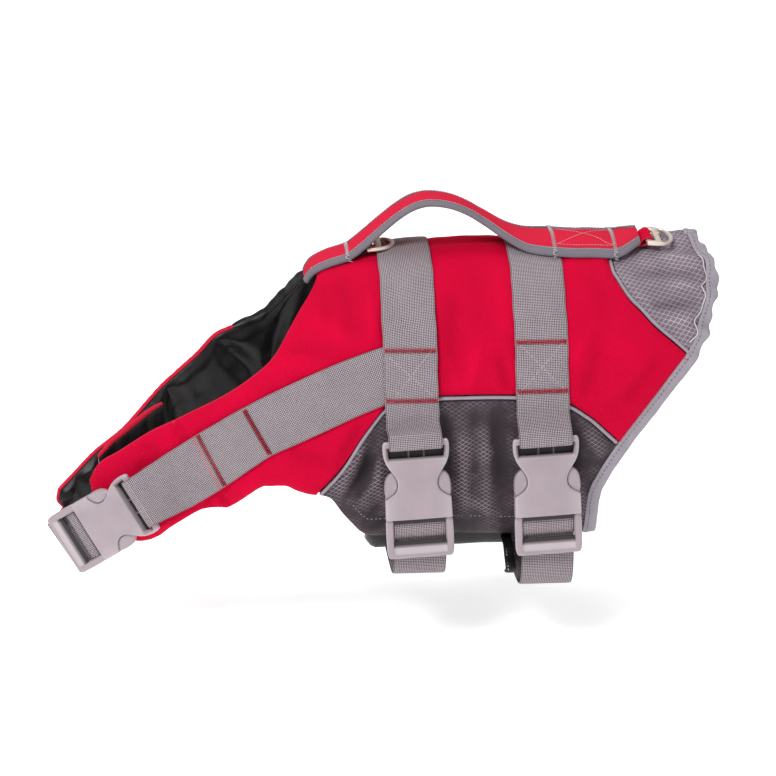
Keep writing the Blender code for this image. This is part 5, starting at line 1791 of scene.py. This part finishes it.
class JACKET_OT_rings(bpy.types.Operator):
    """Make the two D-rings and the tape loops that hold them."""
    bl_idname = "jacket.rings"
    bl_label = "D-rings"

    def execute(self, context):
        low, shoulder, corner = RING_OPENING
        outlines = [
            d_outline(RING_HALF, -RING_BAR, RING_SHOULDER, RING_LENGTH, RING_CORNER),
            slot_outline(*RING_SLOT),
            d_outline(RING_HALF - RING_RIM, low, shoulder, RING_LENGTH - RING_RIM, corner),
        ]
        points, faces = bevelled_plate(outlines, RING_WALL / 2, RING_ROUND, 4)
        for label, *where, end in RINGS:
            place = ring_place(*where)
            matrix = np.array(frame_matrix(*place))
            spot = points @ matrix[:3, :3].T + matrix[:3, 3]
            ring = make_object("ring_metal_" + label, spot, faces, "metal", points[:, :2],
                               smooth_angle=30)
            dress(ring, "nickel", "d_ring_" + label, body="ring_" + label)
            self.tab(label, place, end, *TABS[label])
        return {"FINISHED"}

    def tab(self, label, place, end, width, finish):
        layer = TAB_WALL / 2 + 0.15
        rows = [(-10.5, end - layer), (-6.5, end - layer), (-3.0, (end - layer - TAB_RADIUS) / 2)]
        rows += [(TAB_RADIUS * math.sin(turn), -TAB_RADIUS * math.cos(turn))
                 for turn in np.linspace(0, math.pi, 13)]
        rows += [(-2.4, TAB_RADIUS - 0.9), (-4.6, 0.4), (-6.9, end + layer), (-10.5, end + layer)]
        half = width / 2
        across = np.concatenate([[-half], np.linspace(-half + 0.8, half - 0.8, 7), [half]])
        grid = [[from_buckle(place, u, v, w) for v in across] for u, w in rows]
        piece = cloth_band("ring_loop_" + label, refined(grid, 2), TAB_WALL, finish)
        dress(piece, "grey_webbing", "d_ring_tab_" + label)


# Small pieces
class JACKET_OT_fold(bpy.types.Operator):
    """Make the near chest flap's end, folded back inside."""
    bl_idname = "jacket.fold"
    bl_label = "Folded flap end"

    def execute(self, context):
        outer, inner = [], []
        shares = np.linspace(0, 1, 25)
        bow = 3.0 * np.sin(np.pi * shares)
        for n, (x, y, top, low) in enumerate(smooth_rows(FOLD, step=1.5)):
            height = 3.0 * abs(math.sin(n * 0.27 + 0.5)) + 0.6 * math.sin(n * 0.9)
            lump = np.sin(np.pi * shares) * height
            across, down = x + 5.0 * shares, top + (low - top) * shares
            outer.append(np.column_stack([across, y - bow - FOLD_WALL / 2 - lump, down]))
            inner.append(np.column_stack([across, y - bow + FOLD_WALL / 2, down]))
        walls = np.array(outer), np.array(inner)
        self.half("fold_lining", *walls, 0.0, FOLD_CANVAS_FROM, "lining", "black_satin")
        self.half("fold_canvas", *walls, FOLD_CANVAS_FROM, 1.0, "canvas", "red_canvas",
                  "chest_flap_fold")
        top = smooth_rows([(x, y - 0.6, top_z + 0.4) for x, y, top_z, _ in FOLD], step=2.0)
        ends = np.sin(np.pi * np.linspace(0.06, 0.94, len(top))) ** 0.4
        rings = tube_rings(top, np.tile((0.0, 1.0, 0.0), (len(top), 1)), 2.6, 14)
        rings = top[:, None] + (rings - top[:, None]) * ends[:, None, None]
        dress(ring_loft("fold_edge", rings, "canvas"), "red_canvas")
        return {"FINISHED"}

    def half(self, name, outer, inner, start, end, finish, slot, *nodes):
        """One layer of the fold, between two shares of its wall."""
        middle = outer + (inner - outer) * (start + end) / 2
        piece = cloth_band(name, middle, FOLD_WALL * (end - start) * 0.97, finish)
        dress(piece, slot, *nodes)


class JACKET_OT_keeper(bpy.types.Operator):
    """Make the keeper beside the rear strap."""
    bl_idname = "jacket.keeper"
    bl_label = "Keeper"

    def execute(self, context):
        middle, width, wall = KEEPER
        edges = np.linspace(middle - width / 2, middle + width / 2, 5)
        rows = [[skin(x, angle, lift) for x in edges] for angle, lift in KEEPER_SEWN]
        rows += [[np.array([x, y, z]) for x in edges] for y, z in KEEPER_HANGING]
        piece = cloth_band("keeper_elastic", refined(rows, 4), wall, "lining")
        dress(piece, "black_satin", "keeper_tab")
        seam = [row[1] - np.array([0, wall / 2 + 0.25, 0]) for row in refined(rows, 3)[6:-6]]
        sew("keeper_seams", [seam], "pale_thread", "grey_tape", 0.8, 0.7)
        return {"FINISHED"}


# Sewing
STITCH_SEED = 7
STITCH_UNEVENNESS = 0.12
# The nodes that sew: key, kind, settings and fixed inputs
STITCH_NODES = (
    ("start", "NodeGroupInput", {}, {}),
    ("curve", "GeometryNodeMeshToCurve", {}, {}),
    ("resample", "GeometryNodeResampleCurve", {"mode": "LENGTH"}, {}),
    ("bead", "GeometryNodeMeshUVSphere", {}, {"Segments": 6, "Rings": 5, "Radius": 0.5}),
    ("tangent", "GeometryNodeInputTangent", {}, {}),
    ("align", "FunctionNodeAlignRotationToVector", {"axis": "Z"}, {}),
    ("shape", "ShaderNodeCombineXYZ", {}, {}),
    ("low", "ShaderNodeMath", {"operation": "SUBTRACT"}, {0: 1.0}),
    ("high", "ShaderNodeMath", {"operation": "ADD"}, {0: 1.0}),
    ("chance", "FunctionNodeRandomValue", {"data_type": "FLOAT"}, {}),
    ("scale", "ShaderNodeVectorMath", {"operation": "SCALE"}, {}),
    ("place", "GeometryNodeInstanceOnPoints", {}, {}),
    ("real", "GeometryNodeRealizeInstances", {}, {}),
    ("paint", "GeometryNodeSetMaterial", {}, {}),
    ("end", "NodeGroupOutput", {}, {}),
)
# The links between them: node and output, then node and input
STITCH_LINKS = (
    ("start", "Geometry", "curve", "Mesh"), ("curve", "Curve", "resample", "Curve"),
    ("start", "Pitch", "resample", "Length"), ("tangent", "Tangent", "align", "Vector"),
    ("start", "Thickness", "shape", "X"), ("start", "Thickness", "shape", "Y"),
    ("start", "Length", "shape", "Z"), ("start", "Unevenness", "low", 1),
    ("start", "Unevenness", "high", 1), ("low", 0, "chance", 2), ("high", 0, "chance", 3),
    ("start", "Seed", "chance", "Seed"), ("shape", 0, "scale", 0), ("chance", 1, "scale", "Scale"),
    ("resample", "Curve", "place", "Points"), ("bead", "Mesh", "place", "Instance"),
    ("align", "Rotation", "place", "Rotation"), ("scale", 0, "place", "Scale"),
    ("place", "Instances", "real", "Geometry"), ("real", "Geometry", "paint", "Geometry"),
    ("start", "Material", "paint", "Material"), ("paint", "Geometry", "end", "Geometry"),
)


def stitch_tree(name, pitch, length, thickness):
    """Geometry nodes that sew along the edges of a mesh, one small thread for each stitch."""
    group = bpy.data.node_groups.new(name, "GeometryNodeTree")
    named_inputs = (
        ("Geometry", "Geometry", None), ("Pitch", "Float", pitch), ("Length", "Float", length),
        ("Thickness", "Float", thickness), ("Unevenness", "Float", STITCH_UNEVENNESS),
        ("Seed", "Int", STITCH_SEED), ("Material", "Material", None),
    )
    ids = {}
    for label, kind, value in named_inputs:
        item = group.interface.new_socket(
            name=label, in_out="INPUT", socket_type="NodeSocket" + kind)
        if value is not None:
            item.default_value = value
        ids[label] = item.identifier
    group.interface.new_socket(name="Geometry", in_out="OUTPUT", socket_type="NodeSocketGeometry")
    nodes = {}
    for key, kind, settings, fixed in STITCH_NODES:
        nodes[key] = group.nodes.new(kind)
        for setting, value in settings.items():
            setattr(nodes[key], setting, value)
        for place, value in fixed.items():
            nodes[key].inputs[place].default_value = value
    for source, out, target, place in STITCH_LINKS:
        group.links.new(nodes[source].outputs[out], nodes[target].inputs[place])
    return group, ids


def path_object(name, paths):
    """A mesh of edges along each path, given in millimetres."""
    points, edges = [], []
    for path in paths:
        start = len(points)
        points += [tuple(p * MM) for p in np.asarray(path, float)]
        edges += [(start + k, start + k + 1) for k in range(len(path) - 1)]
    mesh = bpy.data.meshes.new(name)
    mesh.from_pydata(points, edges, [])
    return add_object(name, mesh)


def sew(name, paths, finish, slot, pitch_share=1.0, length_share=1.0, width_share=1.0,
        seed=STITCH_SEED):
    """Sew runs of stitches and keep them as one plain mesh."""
    sizes = bpy.context.scene.jacket_sizes
    group, ids = stitch_tree(name + "_nodes", sizes.stitch_pitch, sizes.stitch_length,
                             sizes.thread_width)
    guide = path_object(name + "_guide", paths)
    modifier = guide.modifiers.new("Stitches", "NODES")
    modifier.node_group = group
    modifier[ids["Pitch"]] = sizes.stitch_pitch * pitch_share
    modifier[ids["Length"]] = sizes.stitch_length * length_share
    modifier[ids["Thickness"]] = sizes.thread_width * width_share
    modifier[ids["Seed"]] = seed
    modifier[ids["Material"]] = FINISHES[finish]
    mesh = plain_mesh(guide)
    mesh.name = name
    mesh.shade_smooth()
    return dress(add_object(name, mesh), slot)


def thread_tubes(name, paths, radius, finish, slot):
    """Lengths of thread as one mesh of thin tubes."""
    paths = [np.asarray(path, float) * MM for path in paths]
    mesh = plain_mesh(curve_holder(
        name, paths, False, dimensions="3D", bevel_depth=radius * MM, bevel_resolution=1,
        use_fill_caps=True), weld=0.00001)
    mesh.name = name
    mesh.materials.clear()
    mesh.materials.append(FINISHES[finish])
    mesh.shade_smooth()
    return dress(add_object(name, mesh), slot)


def on_cloth(rows, lift, step=1.2):
    """A path over the cloth along a table of places."""
    return skin_of(smooth_rows(rows, step=step), lift)


def beside(places, shift):
    """Places moved sideways along the skin by a distance in millimetres."""
    fine = smooth_rows(places, step=1.0)
    points = skin_point(fine[:, 0], fine[:, 1])
    aside = np.cross(normals_of(fine), unit(np.gradient(points, axis=0))) * shift
    girth = np.maximum(np.hypot(points[:, 1], points[:, 2] - body_at(fine[:, 0])[:, 1]), 20.0)
    turn = np.radians(fine[:, 1])
    around = aside[:, 1] * np.cos(turn) - aside[:, 2] * np.sin(turn)
    return np.column_stack([fine[:, 0] + aside[:, 0], fine[:, 1] + np.degrees(around / girth)])


def angle_at(x, z, side):
    """The angle on one side where the webbing at x has the height z."""
    angles = np.linspace(10, 140, 261)
    heights = skin(x, side * angles, TACK_LIFT)[:, 2]
    return side * float(np.interp(-z, -heights, angles))


# Bar tacks on the girth straps: strap, height of the tack
GIRTH_TACKS = ((0, -56), (0, -92), (1, -51), (1, -87))
TACK_LIFT = 5.0
TACK_HALF = 18.8
TACK_HEIGHT = 3.1
TACK_COUNT = 92
TACK_RADIUS = 0.52
LINE_RADIUS = 0.25
# Rows of the chest strap's table where its tacks cross it, as a share of its length
CHEST_TACKS = (0.775, 0.592)
CHEST_ACROSS_SHARES = (0.05, 0.95)


def girth_tack(index, z, side):
    """A bar tack across a girth strap: a zigzag that follows the curved webbing."""
    label, middle, _ = GIRTH_STRAPS[index]
    lift = girth_lift(label, angle_at(middle, z, side)) + WEB_WALL / 2 + 0.4
    points = []
    for k in range(TACK_COUNT + 1):
        v = -TACK_HALF + 2 * TACK_HALF * (k / TACK_COUNT)
        angle = angle_at(middle + v, z, side)
        x = girth_x(middle, angle) + v
        aside = unit(skin(x, angle + side, lift) - skin(x, angle - side, lift))
        way = 1 if k % 2 else -1
        uneven = 1 + 0.18 * math.sin(k * 2.3) + 0.1 * math.sin(k * 5.1)
        centre = skin(x, angle, lift - 0.35 * (v / 20) ** 2)
        points.append(centre + aside * way * TACK_HEIGHT / 2 * uneven)
    return points


def girth_cross(index, side):
    """The two crossed threads between a strap's tacks."""
    label, middle, _ = GIRTH_STRAPS[index]
    high, low = [z for number, z in GIRTH_TACKS if number == index]
    paths = []
    for way in (-1, 1):
        path = []
        for t in np.linspace(0.06, 0.94, 22):
            angle = angle_at(middle, high + (low - high) * t, side)
            x = girth_x(middle, angle) + way * (TACK_HALF - 1.5) * (2 * t - 1)
            path.append(skin(x, angle, girth_lift(label, angle) + WEB_WALL / 2 + 0.15))
        paths.append(path)
    return paths


def chest_line(share, side, lift, count=40):
    """A line across the chest strap at a share of its table."""
    table = np.array(CHEST_STRAP_NEAR, float)
    place = share * (len(table) - 1)
    row = [np.interp(place, np.arange(len(table)), column) for column in table.T]
    shares = np.linspace(*CHEST_ACROSS_SHARES, count)
    x = row[0] + (row[2] - row[0]) * shares
    angle = row[1] + (row[3] - row[1]) * shares
    return skin(x, side * angle, lift)


FINE_STEP = 1.5
HANDLE_TACKS = (-99.5, 56.0, 103.0)
HANDLE_BOX = (57.5, 102.0)
HANDLE_ROW = 12.5
HANDLE_SEAMS = (-128, 121)
# Where a handle tack wraps round the binding: out of its edge and height
TACK_WRAP = ((0.5, 1.4), (0.7, 0.4), (0.7, -0.8), (0.4, -2.0))
TACK_REACH = 1.4


def handle_frame_at(x):
    return min(handle_frames(FINE_STEP), key=lambda f: abs(f[0][0] - x))


def handle_tack(x, count=40):
    """A zigzag across the whole handle at x."""
    row = handle_frame_at(x)
    wall, edge = row[0][4], row[0][5]
    half = edge - 0.5
    points = []
    for k in range(count + 1):
        v = -half + 2 * half * k / count
        way = TACK_REACH if k % 2 else -TACK_REACH
        over = max(wall / 2 * handle_arc(min(abs(v) / (edge - 6.1), 1)), HANDLE_EDGE_WALL / 2)
        points.append(handle_point(row, v, over + 0.7) + np.array([way, 0, 0]))
    for k, (out, w) in enumerate(TACK_WRAP):
        way = np.array([TACK_REACH if k % 2 else -TACK_REACH, 0, 0])
        points.append(handle_point(row, edge + out, w) + way)
        points.insert(0, handle_point(row, -edge - out, w) + way)
    return points


ELASTIC_TURN = (15, 68)


class JACKET_OT_sewing(bpy.types.Operator):
    """Sew the seams, bar tacks and crossed threads."""
    bl_idname = "jacket.sewing"
    bl_label = "Sewing"

    def execute(self, context):
        self.bar_tacks()
        self.handle_threads()
        self.seams()
        return {"FINISHED"}

    def bar_tacks(self):
        lift = WEB_LIFT + WEB_WALL / 2 + 0.3
        tacks, crosses = [], []
        for side, _ in SIDES:
            tacks += [girth_tack(index, z, side) for index, z in GIRTH_TACKS]
            crosses += [path for index in (0, 1) for path in girth_cross(index, side)]
            for share in CHEST_TACKS:
                line = chest_line(share, side, lift, TACK_COUNT)
                aside = unit(chest_line(share - 0.02, side, lift, TACK_COUNT) - line)
                sign = np.where(np.arange(TACK_COUNT) % 2, 1.0, -1.0)[:, None]
                tacks.append(line + aside * sign * TACK_HEIGHT / 2)
        thread_tubes("bar_tacks", tacks, TACK_RADIUS, "red_thread", "red_canvas")
        thin = [chest_line(CHEST_TACKS[0] + 0.020, side, lift - 0.1) for side, _ in SIDES]
        thread_tubes("strap_stitch_lines", thin, LINE_RADIUS, "red_thread", "red_canvas")
        sew("strap_crosses", crosses, "pale_thread", "grey_webbing", 0.8, 0.8, 0.8, seed=3)

    def handle_threads(self):
        frames = handle_frames(FINE_STEP)
        over = HANDLE_EDGE_WALL / 2 + 0.95
        seam = [row for row in frames if HANDLE_SEAMS[0] <= row[0][0] <= HANDLE_SEAMS[1]]
        lines = [[handle_point(row, sign * (row[0][5] - HANDLE_BINDING + 1.5), over) for row in seam]
                 for sign in (-1, 1)]
        start, end = HANDLE_BOX
        for way in (-1, 1):
            path = []
            for t in np.linspace(0.05, 0.95, 26):
                row = handle_frame_at(start + (end - start) * t)
                v = way * HANDLE_ROW * (2 * t - 1)
                path.append(handle_point(row, v, row[0][4] / 2 * handle_arc(v / 15.4) + 0.75))
            lines.append(path)
        lines += [[handle_point(row, v, HANDLE_EDGE_WALL / 2 + 0.75) for row in frames
                   if start < row[0][0] < end] for v in (-12.8, 12.8)]
        sew("handle_stitches", lines, "pale_thread", "grey_tape", 0.72, 0.8, 0.66, seed=11)
        tacks = [handle_tack(x) for x in HANDLE_TACKS]
        thread_tubes("handle_tacks", tacks, 0.40, "pale_thread", "grey_tape")

    def seams(self):
        red, pale, channels = [], [], []
        for side, _ in SIDES:
            red.append(on_cloth(beside(on_side(RUMP_SEAM, side), 5.2 * side), 2.2))
            red.append(on_cloth(beside(on_side(RIM_SIDE, side), 4.5 * side), 2.0))
            pale.append(on_cloth([(x, side * (angle - 9.0)) for x, angle in HEM[3:]], 1.5))
            channels.append(on_cloth(on_side(CHANNEL, side), 0.5))
        sew("panel_stitches", red, "red_thread", "red_canvas", 1.0, 1.0, 0.85, seed=5)
        sew("channel_stitches", channels, "red_thread", "red_canvas", 0.9, 0.95, 0.8, seed=6)
        sew("hem_stitches", pale, "pale_thread", "side_ripstop", 1.0, 0.8, 0.6, seed=8)
        _, path, out, normals = rim_frame(120, 40, 26)
        inner = path + out * 2.0 + normals * (BINDING_OVER + 0.25)
        sew("binding_stitches", [inner], "dark_thread", "grey_tape", 1.0, 0.8, 0.7, seed=9)
        places, path, out, normals = rim_frame(200, 4, 2)
        way = along_lengths(path)
        weave = (1.5 * np.sin(way / 4.4) + 0.9 * np.sin(way / 2.6 + 1.0))[:, None]
        elastic = path - out * (2.6 + weave) + normals * (BINDING_OVER + 0.5 + 0.4 * weave)
        turns = [side * places[:, 1] for side, _ in SIDES]
        runs = [elastic[(turn > ELASTIC_TURN[0]) & (turn < ELASTIC_TURN[1])] for turn in turns]
        thread_tubes("edge_elastic", runs, 0.55, "pale_thread", "grey_tape")


# The stage
FLOOR_HEIGHT = -0.300
FLOOR_SIZE = 60.0
FLOOR_COLOUR = (0.92, 0.92, 0.92)
FLOOR_GLOW = 0.62
WORLD_STRENGTH = 0.39
WHITE = (1, 1, 1, 1)
# Lights: name, place, size, power
LIGHTS = (
    ("key_light", (-1.0, -1.2, 1.6), 0.8, 36.5),
    ("fill_light", (1.5, -1.6, 0.4), 1.0, 3.4),
    ("top_light", (0.2, 0.5, 1.8), 1.0, 14.5),
)
LIGHT_TARGET = Vector((-0.05, 0, -0.1))
CAMERA_TARGET = Vector((-0.069, 0.0, -0.111))
CAMERA_AZIMUTH = -4.0
CAMERA_ELEVATION = 18.0
CAMERA_DISTANCE = 1.75
FOCAL_PIXELS = 2219.0
FRAME_PIXELS = 776.0


class JACKET_OT_stage(bpy.types.Operator):
    """Set the pale floor, the soft lights and the camera."""
    bl_idname = "jacket.stage"
    bl_label = "Stage"

    def execute(self, context):
        bpy.ops.mesh.primitive_plane_add(size=FLOOR_SIZE, location=(0, 0, FLOOR_HEIGHT))
        floor = bpy.context.object
        floor.name = "floor"
        ground = Finish("pale_floor", 0.9)
        ground.shader.inputs["Emission Color"].default_value = WHITE
        ground.shader.inputs["Emission Strength"].default_value = FLOOR_GLOW
        ground.shader.inputs["Base Color"].default_value = rgb(FLOOR_COLOUR)
        floor.data.materials.append(ground.material)
        for name, location, size, power in LIGHTS:
            lamp = bpy.data.lights.new(name, "AREA")
            lamp.energy = power
            lamp.size = size
            self.aimed(name, lamp, Vector(location), LIGHT_TARGET - Vector(location))
        world = bpy.context.scene.world or bpy.data.worlds.new("studio")
        bpy.context.scene.world = world
        world.use_nodes = True
        world.node_tree.nodes["Background"].inputs["Color"].default_value = WHITE
        world.node_tree.nodes["Background"].inputs["Strength"].default_value = WORLD_STRENGTH
        bpy.context.scene.view_settings.view_transform = "Standard"
        self.camera()
        return {"FINISHED"}

    def aimed(self, name, data, location, way):
        obj = add_object(name, data)
        obj.location = location
        obj.rotation_mode = "QUATERNION"
        obj.rotation_quaternion = way.to_track_quat("-Z", "Y")
        return obj

    def camera(self):
        azimuth, elevation = math.radians(CAMERA_AZIMUTH), math.radians(CAMERA_ELEVATION)
        back = Vector((math.sin(azimuth) * math.cos(elevation),
                       -math.cos(azimuth) * math.cos(elevation), math.sin(elevation)))
        data = bpy.data.cameras.new("camera")
        data.sensor_width = 36.0
        data.lens = FOCAL_PIXELS / FRAME_PIXELS * data.sensor_width
        place = CAMERA_TARGET + back * CAMERA_DISTANCE
        bpy.context.scene.camera = self.aimed("camera", data, place, -back)


OPERATORS = (
    JACKET_OT_stage, JACKET_OT_back, JACKET_OT_sides, JACKET_OT_rump, JACKET_OT_lining,
    JACKET_OT_belly, JACKET_OT_pipings, JACKET_OT_binding, JACKET_OT_girth_straps,
    JACKET_OT_chest_straps, JACKET_OT_buckles, JACKET_OT_handle, JACKET_OT_rings, JACKET_OT_fold,
    JACKET_OT_keeper, JACKET_OT_sewing,
)


class JACKET_PT_tools(bpy.types.Panel):
    """Buttons for the jacket's pieces and its sizes and colours."""
    bl_idname = "JACKET_PT_tools"
    bl_label = "Dog life jacket"
    bl_space_type = "VIEW_3D"
    bl_region_type = "UI"
    bl_category = "Jacket"

    def draw(self, context):
        for operator in OPERATORS:
            self.layout.operator(operator.bl_idname)
        for group in (context.scene.jacket_sizes, context.scene.jacket_colours):
            for key in group.__annotations__:
                self.layout.prop(group, key)


CLASSES = (JacketSizes, JacketColours, *OPERATORS, JACKET_PT_tools)


def register():
    for item in CLASSES:
        bpy.utils.register_class(item)
    bpy.types.Scene.jacket_sizes = bpy.props.PointerProperty(type=JacketSizes)
    bpy.types.Scene.jacket_colours = bpy.props.PointerProperty(type=JacketColours)


def unregister():
    del bpy.types.Scene.jacket_sizes
    del bpy.types.Scene.jacket_colours
    for item in reversed(CLASSES):
        bpy.utils.unregister_class(item)


def main():
    register()
    mix_finishes()
    for operator in OPERATORS:
        name = operator.bl_idname.split(".")[1]
        getattr(bpy.ops.jacket, name)()


if __name__ == "__main__":
    main()
